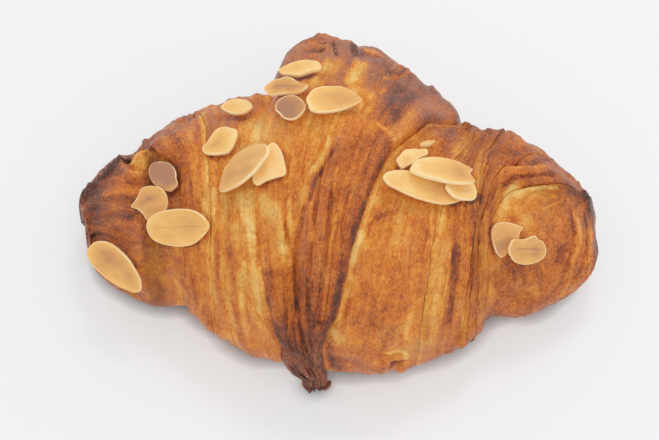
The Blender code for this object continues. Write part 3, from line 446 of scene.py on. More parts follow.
def ease(value):
    """Smooth step from 0 to 1."""
    value = np.clip(value, 0, 1)
    return value * value * (3 - 2 * value)


def flat_noise(u, v, layer=0):
    """Smooth noise from -1 to 1 over a plane, with features about 1 unit wide."""
    u = np.asarray(u) + 31.7 * layer + 1000
    v = np.asarray(v) + 17.3 * layer + 1000
    column, row = np.floor(u).astype(int), np.floor(v).astype(int)
    a, b = ease(u - column), ease(v - row)
    corner = [[LATTICE[(column + i) % NOISE_SIZE, (row + j) % NOISE_SIZE] for j in (0, 1)]
              for i in (0, 1)]
    low = corner[0][0] * (1 - a) + corner[1][0] * a
    high = corner[0][1] * (1 - a) + corner[1][1] * a
    return 2 * (low * (1 - b) + high * b) - 1


def solid_noise(points, scale, layer=0):
    """Smooth noise from -1 to 1 in space, with features about scale wide."""
    place = points / scale + 11.3 * layer + 500
    cell = np.floor(place).astype(int)
    share = ease(place - cell)
    total = np.zeros(points.shape[:-1])
    for corner in np.ndindex(2, 2, 2):
        index = (cell + corner) % BLOCK_SIZE
        weight = np.prod(np.where(np.array(corner) == 1, share, 1 - share), axis=-1)
        total += weight * BLOCK[index[..., 0], index[..., 1], index[..., 2]]
    return 2 * total - 1


def flat_sum(u, v, parts):
    """Sum of flat noises: strength, size along u, size along v, layer."""
    return sum(strength * flat_noise(u / wide, v / long, layer) for strength, wide, long, layer in parts)


def solid_sum(points, parts):
    """Sum of noises in space: strength, size, layer."""
    return sum(strength * solid_noise(points, size, layer) for strength, size, layer in parts)


# ================================================================ the crust's surface

def end_taper(x):
    """1 along the roll, rounding down to 0 at each end."""
    left = np.clip((-(HALF_LENGTH - LEFT_CAP) - x) / LEFT_CAP, 0, 1)
    right = np.clip((x - (HALF_LENGTH - RIGHT_CAP)) / RIGHT_CAP, 0, 1)
    round_left = (1 - left ** LEFT_ROUNDNESS) ** (1 / LEFT_ROUNDNESS)
    round_right = (1 - right ** RIGHT_ROUNDNESS) ** (1 / RIGHT_ROUNDNESS)
    return round_left * round_right


def core_point(x, t):
    """Point of the plain dough core, and the section's outward normal there."""
    stations, fronts, backs, heights = np.array(CORE, float).T
    front = smooth_curve(stations, fronts, x)
    back = smooth_curve(stations, backs, x)
    height = smooth_curve(stations, heights, x)
    taper = end_taper(x)
    belly = BELLY * height
    half_width = (back - front) / 2 * taper
    s = np.sin(np.radians(t))
    k = -np.cos(np.radians(t))
    power = np.where(k > 0, TOP_ROUNDNESS, FOOT_ROUNDNESS)
    half_height = np.where(k > 0, height - belly, belly + SINK) * taper
    y = (front + back) / 2 - half_width * np.sign(s) * np.abs(s) ** (2 / power)
    z = belly + half_height * np.sign(k) * np.abs(k) ** (2 / power)
    normal_y = -s / np.maximum(half_width, 0.001)
    normal_z = k / np.maximum(half_height, 0.001)
    size = np.hypot(normal_y, normal_z)
    return y, z, normal_y / size, normal_z / size


def edge_x(edge, t):
    """Where an edge crosses the section angle t; it wanders a little."""
    angles, places, _ = np.array(EDGES[edge][1], float).T
    run = ALONG * t
    wander = 0.30 * flat_noise(run / 6, edge * 7.3, 30) + 0.14 * flat_noise(run / 1.7, edge * 5.1, 31)
    return smooth_curve(angles, places, t, 360) + wander


def edge_thickness(edge, t):
    """Thickness of the wrap at its edge."""
    angles, _, heights = np.array(EDGES[edge][1], float).T
    swell = 1 + 0.18 * flat_noise(ALONG * t / 4, edge * 3.7, 32)
    return np.maximum(smooth_curve(angles, heights, t, 360), 0) * swell


def lip_width(edge, t):
    """Width over which a wrap rounds up from its edge, in millimetres."""
    return LIP_BASE + LIP_SHARE * edge_thickness(edge, t)


def wrap_thickness(x, t, bare):
    """Thickness of all the wraps together, without the wraps whose edges are bare."""
    total = {"left": 0, "right": 0}
    for edge, (side, _) in enumerate(EDGES):
        inward = 1 if side == "left" else -1
        inside = np.clip((x - edge_x(edge, t)) * inward / lip_width(edge, t), 0, 1)
        rise = 0 if edge in bare else edge_thickness(edge, t) * np.sqrt(inside * (2 - inside))
        total[side] = total[side] + rise
    left_edge, right_edge = (edge_x(edge, t) for edge in LAST_WRAP)
    across = ease(((x - left_edge) / (right_edge - left_edge) - 0.2) / 0.7)
    taper = np.minimum(1, end_taper(x) * 1.5)
    return (total["left"] * (1 - across) + total["right"] * across) * taper


def distance_to_way(points, way):
    """Distance from each point to straight runs between way points on the core, given by x, t."""
    way_x, way_t = np.array(way, float).T
    path = np.stack([way_x, *core_point(way_x, way_t)[:2]], axis=-1)
    nearest = np.linalg.norm(points - path[0], axis=-1)
    for start, end in zip(path[:-1], path[1:]):
        run = end - start
        share = np.clip(((points - start) @ run) / (run @ run), 0, 1)
        gap = points - start - share[..., None] * run
        nearest = np.minimum(nearest, np.linalg.norm(gap, axis=-1))
    return nearest


def stroke_sum(points, strokes, count):
    """Sums of the first count numbers of strokes, each fading away from its way points."""
    total = np.zeros((count,) + points.shape[:-1])
    ragged = 1 + solid_sum(points, STROKE_NOISE)
    for stroke in strokes:
        width, way = stroke[count], stroke[count + 1:]
        fade = np.exp(-(distance_to_way(points, way) * ragged / width) ** STROKE_POWER)
        for i, amount in enumerate(stroke[:count]):
            total[i] += amount * fade
    return total


def end_nudge(x, t):
    """How far the roll's ends move to the right: the left one is pushed in below its burnt rim
    and out above it, and the right one out at its back and below its middle."""
    below = LEFT_BELOW * ease((162 - t) / 28) * ease((-73.2 - x) / 5)
    above = LEFT_ABOVE * np.exp(-((t - 192) / 12) ** 2) * ease((-71 - x) / 7)
    back = RIGHT_BACK * np.exp(-((t - 210) / 10) ** 2)
    front = RIGHT_FRONT * np.exp(-((t - 118) / 16) ** 2)
    return below - above + (back + front) * ease((x - 70) / 7)


def lump_height(x, t):
    """Broad unevenness of the dough."""
    height = np.zeros(x.shape)
    for rise, along, around, shift_x, shift_t in LUMPS:
        height += rise * np.sin(along * x + shift_x) * np.cos(np.radians(around * t) + shift_t)
    return height * np.minimum(1, end_taper(x))


def crust_rows(count):
    """Section angles of the mesh rows, wider apart under the roll."""
    below = max(6, round(count * BASE_SHARE))
    under = np.linspace(-BASE_HALF_ANGLE, BASE_HALF_ANGLE, below, endpoint=False)
    over = np.linspace(BASE_HALF_ANGLE, 360 - BASE_HALF_ANGLE, count - below, endpoint=False)
    return np.concatenate([under, over])


def lip_is_at(edge, side):
    """Whether an edge is the lip at that side of its wrap."""
    return 0 <= edge < len(EDGES) and EDGES[edge][0] == side


def crust_columns(first, last, counts, t):
    """Mesh columns of a piece: places x, stretches, depths below the surface, lip curl."""
    columns = []

    def lip(edge, outward, stretch, own):
        thick = np.minimum(edge_thickness(edge, t), THICK_LIP)
        for share, curl in zip(LIP_STEPS, LIP_CURL):
            x = edge_x(edge, t) - outward * share * lip_width(edge, t)
            depth = FOOT_DEPTH if own and share == 0 else 0.0
            here.append((x, stretch, depth, outward * curl * LIP_OVERHANG * thick))

    for stretch, plain in zip(range(first, last + 1), counts):
        low, high = stretch - 1, stretch
        start = edge_x(low, t) if low >= 0 else np.full(t.shape, -HALF_LENGTH)
        end = edge_x(high, t) if high < len(EDGES) else np.full(t.shape, HALF_LENGTH)
        here = []
        if lip_is_at(low, "left"):
            lip(low, -1, stretch, stretch == first)
            columns += here
            start = start + lip_width(low, t)
        elif stretch == first and low >= 0:
            columns += [(start - reach, stretch, depth, 0.0) for reach, depth in UNDER]
        here = []
        if lip_is_at(high, "right"):
            lip(high, 1, stretch, stretch == last)
            here.reverse()
            end = end - lip_width(high, t)
        elif stretch == last and high < len(EDGES):
            here = [(end + reach, stretch, depth, 0.0) for reach, depth in reversed(UNDER)]
        for step in range(1, plain + 1):
            share = step / (plain + 1)
            if low < 0:
                share = 1 - math.cos(share * math.pi / 2)
            if high == len(EDGES):
                share = math.sin(share * math.pi / 2)
            columns.append((start + share * (end - start), stretch, 0.0, 0.0))
        columns += here
    x, stretch, depth, curl = zip(*columns)
    curl = [np.broadcast_to(value, t.shape) for value in curl]
    return np.array(x), np.array(stretch), np.array(depth)[:, None], np.array(curl)


def blended(values, x, t):
    """Value of each stretch, blending into the next one over its edge."""
    values = np.asarray(values, float)
    values = values[:, None, None] if values.ndim == 1 else values[:, None, :]
    total = values[0] + np.zeros(x.shape)
    for edge, width in enumerate(EDGE_BLEND):
        passed = ease((x - edge_x(edge, t)) / width + 0.5)
        total = total + passed * (values[edge + 1] - values[edge])
    return total


def flow_field(x, t, stretch):
    """Places across the streaks and along them, in millimetres."""
    widths = np.array([row[0] for row in STRETCHES])
    limits = [edge_x(edge, t) for edge in range(len(EDGES))]
    limits = np.stack([np.full(x.shape, -HALF_LENGTH), *limits, np.full(x.shape, HALF_LENGTH)])
    low = np.take_along_axis(limits, stretch[None], axis=0)[0]
    high = np.take_along_axis(limits, stretch[None] + 1, axis=0)[0]
    across = (x - low) / (high - low) * widths[stretch] + 50.0 * stretch
    along = t * ALONG
    fan = ease((-50 - x) / 8) * (stretch == LEFT_END)
    across = across * (1 - fan) + (t * 0.48 + 0.25 * x) * fan
    along = along * (1 - fan) + x * fan
    return across, along


def crust_grain(core, across, along):
    """Each kind of grain of the crust, at each point."""
    wide = 1 - 2.6 * np.abs(flat_noise(across / 2.0, along / 30, 14))
    fine = 1 - 2.2 * np.abs(flat_noise(across / 0.95, along / 14, 15))
    return {
        "streak": flat_sum(across, along, STREAK_NOISE),
        "dash": flat_noise(across / 0.7, along / 3.6, 4),
        "fibre": np.maximum(np.clip(wide, 0, 1), 0.6 * np.clip(fine, 0, 1)) ** 2,
        "flake": ease((flat_sum(across, along, FLAKE_NOISE) - 0.30) / 0.10),
        "blister": solid_sum(core, BLISTER_NOISE),
        "patch": solid_sum(core, PATCH_NOISE),
        "wave": solid_noise(core, 9.0, 8),
    }


def grain_sum(grain, strength, parts):
    """Sum of kinds of grain, each times its amount and the strength that it grows with."""
    return sum(amount * grain[kind] * strength[follows] for kind, (amount, follows) in parts.items())


def crust_surface(first, last, counts, row_count):
    """Points of a crust piece on a grid of columns and rows, with the values its looks use."""
    rows = crust_rows(row_count)
    x, stretch, depth, curl = crust_columns(first, last, counts, rows)
    t = np.broadcast_to(rows, x.shape)
    stretch = np.broadcast_to(stretch[:, None], x.shape)
    y, z, normal_y, normal_z = core_point(x, t)
    core = np.stack([x, y, z], axis=-1)
    taper = np.minimum(1, end_taper(x) * 2)
    across, along = flow_field(x, t, stretch)

    grain = crust_grain(core, across, along)
    bumpy = blended([row[2] for row in STRETCHES], x, t)
    strength = {"streaky": blended([row[1] for row in STRETCHES], x, t), "bumpy": bumpy,
                "half_bumpy": 0.4 + 0.6 * bumpy, "even": 1}
    relief = grain_sum(grain, strength, RELIEF)
    rim = np.exp(-(distance_to_way(core, FOLDS[0][2:]) / RIM_WIDTH) ** 2)
    relief += rim * solid_sum(core, RIM_NOISE)
    mark_height, mark_bake_and_shade = stroke_sum(core, MARKS, 2)
    mark_bake_and_shade += stroke_sum(core, STAINS_AND_SHADOWS, 1)[0]
    broad = stroke_sum(core, FOLDS + SWELLS, 1)[0] + lump_height(x, t)
    band_bake, ribbon, middle_band = last_wrap_bands(x, t, rows, stretch, along)

    bare = {edge for edge in (first - 1, last) if not lip_is_at(edge, "left" if edge < first else "right")}
    raised = (wrap_thickness(x, t, bare) + (broad + relief + mark_height + RIBBON_RISE * ribbon) * taper
              - depth)
    points = np.stack([np.clip(x + curl * taper + end_nudge(x, t), -HALF_LENGTH, HALF_LENGTH),
                       y + raised * normal_y - CENTRE_Y,
                       np.maximum(z + raised * normal_z, 0)], axis=-1)

    # Besides the browning, this also holds painted shade: in the holes, round and beside the slices, and, in
    # the shader, in crevices.
    bake = blended(np.array([smooth_curve(BAKE_ANGLES, row, rows, 360) for row in BAKE]), x, t)
    bake = bake + BAKE_SHIFT + grain_sum(grain, strength, BROWNING) + band_bake
    bake = bake + mark_bake_and_shade - lee_paleness(x, t)
    # Share of the painted mauve sheen.
    bloom = painted_sheen_share(t, stretch, bake, grain["streak"], grain["blister"], rim, middle_band)
    flow = np.stack([across, along, 10.0 * stretch], axis=-1)
    return points, {"bake": np.clip(bake, 0, 1.1), "bloom": bloom, "flow": flow}


def last_wrap_bands(x, t, rows, stretch, along):
    """What the three bands of the last wrap add to its browning, and where its middle is."""
    left, right = (edge_x(edge, t) for edge in LAST_WRAP)
    share = (x - left) / (right - left) + 0.03 * flat_noise(along / 2.2, 3.0, 33)
    starts, ends = (smooth_curve(BAND_ANGLES, row, rows, 360) for row in BAND_LIMITS)
    low, middle, high = (np.interp(rows, BAND_ANGLES, row, period=360) for row in BAND_BAKE)
    into = ease((share - starts) / 0.06 + 0.5)
    out = ease((share - ends) / 0.08 + 0.5)
    added = low * (1 - into) + middle * into * (1 - out) + high * out
    shown = (stretch == LAST) * ease((t - 60) / 30) * ease((215 - t) / 20)
    return np.where(stretch == LAST, added, 0), shown * into, shown * into * (1 - out)


def lee_paleness(x, t):
    """Paler dough beside each edge, and a darker crest on its lip."""
    total = np.zeros(x.shape)
    shown = ease((t - 60) / 20) * ease((300 - t) / 30)
    for edge, (side, _) in enumerate(EDGES):
        outward = -1 if side == "left" else 1
        beyond = (x - edge_x(edge, t)) * outward
        width, strength = LEE[edge]
        ragged = 1 + 0.4 * flat_noise(t * 0.10, edge * 7.0, 8) + 0.25 * flat_noise(t * 0.4, edge * 5.0, 9)
        pale = np.where(beyond > -0.1, np.exp(-(np.maximum(beyond, 0) / (width * ragged)) ** 4), 0)
        crest = np.exp(-((-beyond - 1.2) / 1.2) ** 2)
        total += (strength * pale - 0.05 * crest) * shown
    return total


def painted_sheen_share(t, stretch, bake, streak, blister, rim, middle_band):
    """Share of a painted mauve sheen that stands for light from behind reflected on the dull tops; it is also
    laid on the middle band of the last wrap and over the left lobe.
    """
    top = ease((t - 190) / 30) * ease((330 - t) / 50)
    side = np.select([stretch < LAST, stretch == LAST], [0.9, 1.1], 0.5)
    tops = side * top * (0.50 + 0.40 * blister + 0.25 * streak)
    fibres = 0.26 * middle_band * (0.7 + 0.8 * streak) * ease((t - 118) / 40)
    left_lobe = 0.22 * top * (1 - rim) + 0.17 + 0.20 * blister
    bloom = np.where(stretch == LEFT_END, left_lobe, tops + fibres)
    return np.clip(bloom, 0, 1) * ease((bake - 0.45) / 0.2) * (1 - 0.7 * ease((bake - 0.9) / 0.2))


# ================================================================ meshes

def new_mesh(name, vertices, faces, material, slot):
    """Smooth-shaded object of vertices in millimetres, riding on the croissant."""
    data = bpy.data.meshes.new(name)
    data.from_pydata((np.asarray(vertices) * MM).tolist(), [], faces)
    data.materials.append(material)
    data.update()
    data.shade_smooth()
    piece = bpy.data.objects.new(name, data)
    bpy.context.scene.collection.objects.link(piece)
    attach(piece, "root")
    return piece


def set_value(piece, name, values):
    """Stores one number or one vector for each vertex."""
    values = np.asarray(values, float)
    kind = "FLOAT" if values.ndim == 1 else "FLOAT_VECTOR"
    field = "value" if values.ndim == 1 else "vector"
    attribute = piece.data.attributes.new(name, kind, "POINT")
    attribute.data.foreach_set(field, values.ravel().astype(np.float32))


def grid_faces(columns, rows, offset=0):
    """Faces of a grid whose rows close round on themselves."""
    faces = []
    for i in range(columns - 1):
        for j in range(rows):
            near = (j + 1) % rows
            faces.append((offset + i * rows + j, offset + i * rows + near,
                          offset + (i + 1) * rows + near, offset + (i + 1) * rows + j))
    return faces


def closed_tube(rings, start=0):
    """Vertices and faces of a tube through rings, closed at both ends; start is its first index."""
    count, sides = rings.shape[:2]
    vertices = np.concatenate([rings.reshape(-1, 3), [rings[0].mean(axis=0), rings[-1].mean(axis=0)]])
    faces = grid_faces(count, sides, start)
    middle = start + count * sides
    for j in range(sides):
        near = (j + 1) % sides
        faces.append((middle, start + near, start + j))
        faces.append((middle + 1, middle - sides + j, middle - sides + near))
    return vertices, faces


def cap_rings(points):
    """Adds a shrunken ring inside each end of a grid, so that it can be closed there."""
    inner = [ring.mean(axis=0) + CAP_SHARE * (ring - ring.mean(axis=0)) for ring in points[[0, -1]]]
    return np.concatenate([inner[:1], points, inner[1:]])


def build_crust(name, layout, material, slices):
    """One piece of the crust as a closed mesh."""
    points, looks = crust_surface(*layout)
    points, looks["bake"] = seat_slices(points, looks["bake"], slices)
    crust = new_mesh(name, *closed_tube(cap_rings(points)), material, "baked_crust")
    for key, values in looks.items():
        values = np.concatenate([values[:1], values, values[-1:]])
        flat = values.reshape(-1, 3) if values.ndim == 3 else values.ravel()
        set_value(crust, key, np.concatenate([flat, flat[:1], flat[-1:]]))
    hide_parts("croissant")


# ================================================================ almond slices

SLICE_SIDES = 96

# Each slice: toasting of its face, darkening of its middle, line along it, how much more its
# right end is toasted, and its outline in the slice's own plane, in millimetres from the middle
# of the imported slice.
SLICES = {
    "almond_slice_01": (0.2, 0.14, 0, -0.04, [
        (-6.3, 0.9), (-4.6, 1.9), (-2.5, 2.7), (0.3, 3), (3.6, 2.3), (5.9, 1), (6.6, -1), (6, -1.9),
        (3.8, -2.1), (1.7, -2.5), (-0.1, -2.8), (-2.9, -1.7), (-5, -0.8)]),
    "almond_slice_02": (0.5, 0.4, 0, 0.1, [
        (-6.9, 1.3), (-5.6, 2.5), (-3.9, 3.4), (-2.1, 3.3), (-0.5, 3.6), (1.6, 2.7), (3.8, 0.6),
        (6.5, -1.4), (5, -2.6), (3.3, -3.1), (0.2, -2.5), (-2.8, -2), (-4.7, -1.9), (-6.2, -0.5)]),
    "almond_slice_03": (0.85, 0.2, 0, 0, [
        (-4.3, 0.6), (-3.5, 2.1), (-2.3, 2.9), (-0.6, 3.3), (1.5, 3.1), (3, 2.2), (4.1, 1), (4.7, -0.6),
        (4.2, -1.8), (3.2, -2.9), (2, -3.8), (0.2, -4.1), (-1.6, -3.5), (-3.1, -2), (-4.2, -0.7)]),
    "almond_slice_04": (0.25, 0.35, 0, 0.26, [
        (-8.3, -2), (-7.9, -0.6), (-6.7, 1.5), (-5.2, 2.7), (-3.1, 3.6), (-0.7, 4.3), (1.7, 4.8),
        (3.8, 4.6), (5.9, 3.6), (8.3, 1.6), (7, 0), (4.9, -1.6), (2.8, -3), (0.1, -4.3), (-2.6, -5.3),
        (-5.3, -5.7), (-6.9, -5.4), (-7.7, -3.5)]),
    "almond_slice_05": (0.14, 0.16, 0, 0, [
        (-5, 0.3), (-4.3, 1.2), (-3.1, 2.2), (-1.3, 2.5), (1.2, 2.1), (3.1, 1.2), (4.3, -0.1),
        (4.8, -1.3), (4.1, -2.2), (2.7, -3), (0.6, -3.2), (-1.9, -2.5), (-3.8, -1.1)]),
    "almond_slice_06": (0.15, 0.35, 0.5, -0.08, [
        (-5.6, -1.8), (-4.1, 0.3), (-3, 2.2), (-2, 3.7), (-0.6, 4.5), (1.3, 4.5), (3.2, 3.6), (5.1, 2.4),
        (5.2, 0.2), (4.6, -1.7), (3.8, -3.6), (2.3, -4.9), (0.2, -4.9), (-2.7, -4.4), (-4.9, -3.4)]),
    "almond_slice_07": (0.44, 0.2, 0, -0.12, [
        (-10.4, -2.7), (-10, 0), (-9.4, 2.1), (-8.4, 4.2), (-6.7, 5.3), (-4.7, 6.1), (-1.7, 6.3),
        (1.7, 5.8), (6, 4.4), (9, 2.6), (10.9, 0.1), (10.5, -1.7), (8.1, -3.2), (4.8, -4.9), (1.5, -5.4),
        (-1.9, -5.6), (-5.3, -5.1)]),
    "almond_slice_08": (0.04, 0.1, 0, -0.1, [
        (0.8, 6), (2, 5.2), (3.2, 3.2), (4.1, 0.2), (4.3, -3.8), (1.6, -4.6), (-1, -5.3), (-4.2, -6.3),
        (-5, -5.2), (-3.6, -1.2), (-2.2, 2.4), (-0.8, 5)]),
    "almond_slice_09": (1, 0.2, 0, -0.14, [
        (-4.4, 2.8), (-3.7, 4.2), (-2.1, 4.8), (0.1, 4.5), (2.4, 3.5), (3.6, 2), (4.3, 0.4), (4.4, -1.3),
        (4.9, -3.6), (4, -4.8), (2.6, -5.5), (0.4, -4.8), (-1.6, -3.4), (-3.3, -1.4), (-4.2, 0.7)]),
    "almond_slice_10": (0.62, 0.2, 0, 0, [
        (-6, -1.2), (-5, 0.2), (-3.8, 1.8), (-2.7, 4.1), (-0.7, 4.7), (1.5, 4.6), (3.4, 4), (4.6, 2.9),
        (5.4, 1.3), (5.5, -1.6), (4.1, -3.9), (1.4, -5.3), (-0.8, -5.4), (-2.1, -3.6), (-4, -2)]),
    "almond_slice_11": (0.32, 0.16, 0.6, 0.08, [
        (-10.6, -0.4), (-10.2, 1.2), (-8.6, 2.8), (-5.9, 4.1), (-2.6, 4.9), (0.7, 5.3), (4, 5.2),
        (6.6, 4.5), (8.5, 3.2), (10.2, 0.8), (9.1, -1.3), (6.8, -3.5), (4.2, -5.1), (0.9, -5.7),
        (-2.4, -5.7), (-5.4, -5.3), (-8.1, -4.4), (-10, -2.4)]),
    "almond_slice_12": (0.36, 0.36, 0, 0.04, [
        (-8.7, 3.5), (-7.8, 5.2), (-6.1, 6.7), (-3.7, 7.3), (-1.4, 7), (0.8, 6), (3.1, 4.3), (5.3, 2.3),
        (6.9, -0.1), (8.4, -2.5), (9.1, -4.9), (8.8, -6.8), (7.1, -7.5), (4.8, -7), (1.9, -6.1),
        (-1, -4.6), (-3.6, -2.8), (-6.2, -0.7), (-7.9, 1.5)]),
    "almond_slice_13": (0.08, 0.16, 0, 0, [
        (-4.4, -1.2), (-3.4, 0.4), (-1.8, 2.4), (0.3, 3.1), (2.7, 3.4), (4.8, 3.6), (5.1, 2.7),
        (2.8, 0.6), (0, -2), (-1.8, -3.3), (-2.8, -4), (-3.7, -3)]),
    "almond_chip_01": (0.4, 0.1, 0, 0, [
        (-2.4, -2.6), (-1.2, -0.8), (0.8, 1.3), (2.4, 2.2), (1.2, 0), (-0.4, -1.6)]),
    "almond_slice_14": (0.18, 0.2, 0, 0.16, [
        (-12, 1.4), (-11.3, 2.6), (-9.6, 3.6), (-7.1, 4.2), (-4.7, 4.4), (-1.3, 4.2), (2.4, 3.7),
        (6.1, 2.6), (9.5, 1.2), (11.6, -0.7), (12.2, -2.1), (10.3, -3.3), (7.2, -4.2), (4.4, -4.3),
        (1.3, -4), (-1.8, -3.5), (-4.8, -2.7), (-7.9, -1.6), (-10.8, -0.3)]),
    "almond_slice_15": (0.1, 0.2, 0, 0, [
        (-5.6, -0.8), (-4.6, -2.1), (-3.3, -3.1), (-0.9, -3.5), (1.9, -3), (4.1, -2.2), (5, -0.2),
        (4.7, 1.7), (3.9, 3.3), (1.1, 3.3), (-2.4, 2.4), (-4.9, 0.8)]),
    "almond_slice_16": (0.2, 0.26, 0.3, 0.42, [
        (-9.8, -4.1), (-9.4, -2.3), (-8.4, -0.3), (-6.7, 1.5), (-4.2, 3), (-1.1, 4.1), (2, 4.6),
        (4.8, 4.4), (7.5, 3.6), (9.6, 2.5), (8.9, 1.8), (8.7, 0.4), (9.4, -0.8), (9.8, -2.4), (7.3, -3.7),
        (4.2, -4.7), (1.1, -5.2), (-1.9, -5.3), (-4.9, -5.3), (-7.9, -4.9)]),
    "almond_slice_17": (0.64, 0.14, 0, -0.24, [
        (-5.1, 2.2), (-4.2, 3.4), (-2.5, 4), (-0.6, 4.1), (1.3, 3.8), (3.1, 3.3), (4.8, 2.4), (3.8, 1.3),
        (3.5, 0), (3, -1.7), (1.6, -3.2), (0, -4.5), (-2.3, -6.1), (-3.6, -5), (-4.5, -3.3), (-5.1, -1.3),
        (-5.4, 0.4)]),
    "almond_slice_18": (0.6, 0.12, 0.7, 0, [
        (-6.5, 0.1), (-6.4, 1.4), (-5.9, 2.3), (-5.4, 3.2), (-3.4, 3.5), (-1.3, 3.4), (0.7, 3.9),
        (2.5, 4.2), (3.4, 3.2), (5, 2.4), (5.9, 1), (6.2, -0.9), (5.2, -2.5), (3.3, -3.5), (0.9, -4),
        (-1.8, -4), (-4.2, -3.2), (-5.6, -1.7)]),
}
SLICE_RINGS = (0.16, 0.32, 0.48, 0.62, 0.74, 0.84, 0.90, 0.95)
BEVEL = ((0.975, 0.99), (0.99, 0.93), (1.0, 0.80), (1.0, 0.60), (0.997, 0.35), (0.985, 0.12),
         (0.95, 0.0))                                     # share of the outline, of the thickness
DISH = 0.14                 # depth of the dished face
LINE_DEPTH, LINE_WIDTH = 0.10, 0.3
FACE_NOISE = ((0.06, 2.2), (0.025, 0.8))                  # strength, size


class Slice:
    """Plane, thickness and outline of an almond slice, in millimetres."""

    def __init__(self, name):
        self.name = name
        self.toast, self.core_toast, self.line, self.lean, outline = SLICES[name]
        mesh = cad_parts[name].data
        points = np.empty(len(mesh.vertices) * 3)
        mesh.vertices.foreach_get("co", points)
        points = np.unique(points.reshape(-1, 3).round(7), axis=0) / MM
        middle = points.mean(axis=0)
        normal = np.linalg.svd(points - middle)[2][2]
        self.normal = normal * np.sign(normal[2])
        right = np.array([1.0, 0, 0]) - self.normal * self.normal[0]
        self.right = right / np.linalg.norm(right)
        self.back = np.cross(self.normal, self.right)
        heights = (points - middle) @ self.normal
        self.thickness = np.ptp(heights)
        u, v = (points - middle) @ self.right, (points - middle) @ self.back
        self.middle = (middle + self.normal * heights.min() + (u.max() + u.min()) / 2 * self.right
                       + (v.max() + v.min()) / 2 * self.back)
        corners = np.array(outline, float)
        centre = corners.mean(axis=0)
        corners = corners - centre
        self.middle = self.middle + centre[0] * self.right + centre[1] * self.back
        steps = np.linalg.norm(np.roll(corners, -1, axis=0) - corners, axis=1)
        keys = np.concatenate([[0], np.cumsum(steps)[:-1]])
        where = np.linspace(0, steps.sum(), SLICE_SIDES, endpoint=False)
        self.rim = np.stack([smooth_curve(keys, column, where, steps.sum()) for column in corners.T], axis=-1)
        if np.cross(self.rim, np.roll(self.rim, -1, axis=0)).sum() < 0:
            self.rim = self.rim[::-1]
        self.long = np.linalg.svd(corners)[2][0]
        self.long = self.long * np.sign(self.long[0])
        self.size = np.linalg.norm(self.rim, axis=1).max()

    def inside(self, u, v):
        """How far a place in the slice's plane lies from its middle, as a share of the rim."""
        angles = np.arctan2(self.rim[:, 1], self.rim[:, 0])
        order = np.argsort(angles)
        reach = np.interp(np.arctan2(v, u), angles[order], np.linalg.norm(self.rim, axis=1)[order],
                          period=2 * math.pi)
        return np.hypot(u, v) / reach


def build_slice(item, material):
    """Thin almond slice: pale bevelled rim, slightly dished and uneven face."""
    seed = int(item.name[-2:]) + (40 if "chip" in item.name else 0)
    noises = [(strength, size, size, seed + i) for i, (strength, size) in enumerate(FACE_NOISE)]
    rings = [(share, 1.0) for share in SLICE_RINGS] + list(BEVEL)
    radius = np.linalg.norm(item.rim, axis=1)
    vertices, inset, plane = [], [], []
    for share, level in [(0.0, 1.0)] + rings + [(0.0, 0.0)]:
        flat = item.rim * share if share else np.zeros((1, 2))
        us, vs = flat.T
        height = item.thickness * level * np.ones(len(us))
        away = vs * item.long[0] - us * item.long[1]
        if level > 0.9:
            line = LINE_DEPTH * item.line * np.exp(-(away / LINE_WIDTH) ** 2)
            height = (height + flat_sum(us, vs, noises) - DISH * (1 - share ** 3)
                      - line * (1 - share ** 4))
        vertices.append(item.middle + us[:, None] * item.right + vs[:, None] * item.back
                        + height[:, None] * item.normal)
        inset.append((1 - share) * (radius if share else np.array([item.size])) * (level > 0.9))
        plane.append(np.stack([us * item.long[0] + vs * item.long[1], away,
                               np.full(len(us), seed * 13.0)], axis=-1))
    faces = [tuple(reversed(face)) for face in grid_faces(len(rings), SLICE_SIDES, 1)]
    last = 1 + len(rings) * SLICE_SIDES
    for j in range(SLICE_SIDES):
        near = (j + 1) % SLICE_SIDES
        faces.append((0, 1 + j, 1 + near))
        faces.append((last, last - SLICE_SIDES + near, last - SLICE_SIDES + j))
    piece = new_mesh(item.name + "_toasted", np.concatenate(vertices), faces, material, "toasted_almond")
    inset, plane = np.concatenate(inset), np.concatenate(plane)
    set_value(piece, "inset", inset)
    set_value(piece, "plane", plane)
    set_value(piece, "toast", item.toast + item.lean * plane[:, 0] / item.size)
    set_value(piece, "core_toast", np.full(len(inset), item.core_toast))
    set_value(piece, "line", np.full(len(inset), item.line))
    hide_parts(item.name)


SEAT_REACH = 1.6            # how far the crust rises or sinks to meet a slice
SEAT_GAP = 0.04             # gap that stays between them
SEAT_LIFT = 0.75            # share of the gap that rising crust fills
SLICE_SHADE = 0.10            # how much darker the crust is painted round a slice, as shade


def seat_slices(points, bake, slices):
    """Lets the crust meet the underside of each slice that lies on it, with painted shade on the crust round
    it.
    """
    for item in slices:
        offset = points - item.middle
        u, v, height = offset @ item.right, offset @ item.back, offset @ item.normal
        inside = item.inside(u, v)
        near = (inside < 1.25) & (np.abs(height) < SEAT_REACH)
        sink = near & (inside < 1.08) & (height > -SEAT_GAP)
        rise = near & (height < -SEAT_GAP)
        lift = (-SEAT_GAP - height) * SEAT_LIFT * ease((1.02 - inside) / 0.25)
        lift *= 1 - ease(np.abs(height) / SEAT_REACH)
        change = np.where(sink, -SEAT_GAP - height, 0) + np.where(rise, lift, 0)
        points = points + change[..., None] * item.normal
        points[..., 2] = np.maximum(points[..., 2], 0)
        # Painted shade on the crust round each slice.
        bake = bake + np.where(near, SLICE_SHADE * ease((1.16 - inside) / 0.12), 0)
    return points, bake


# ================================================================ materials

def srgb(red, green, blue):
    """Linear colour of an 8-bit sRGB one."""
    def linear(value):
        value /= 255
        return value / 12.92 if value <= 0.04045 else ((value + 0.055) / 1.055) ** 2.4
    return linear(red), linear(green), linear(blue), 1.0


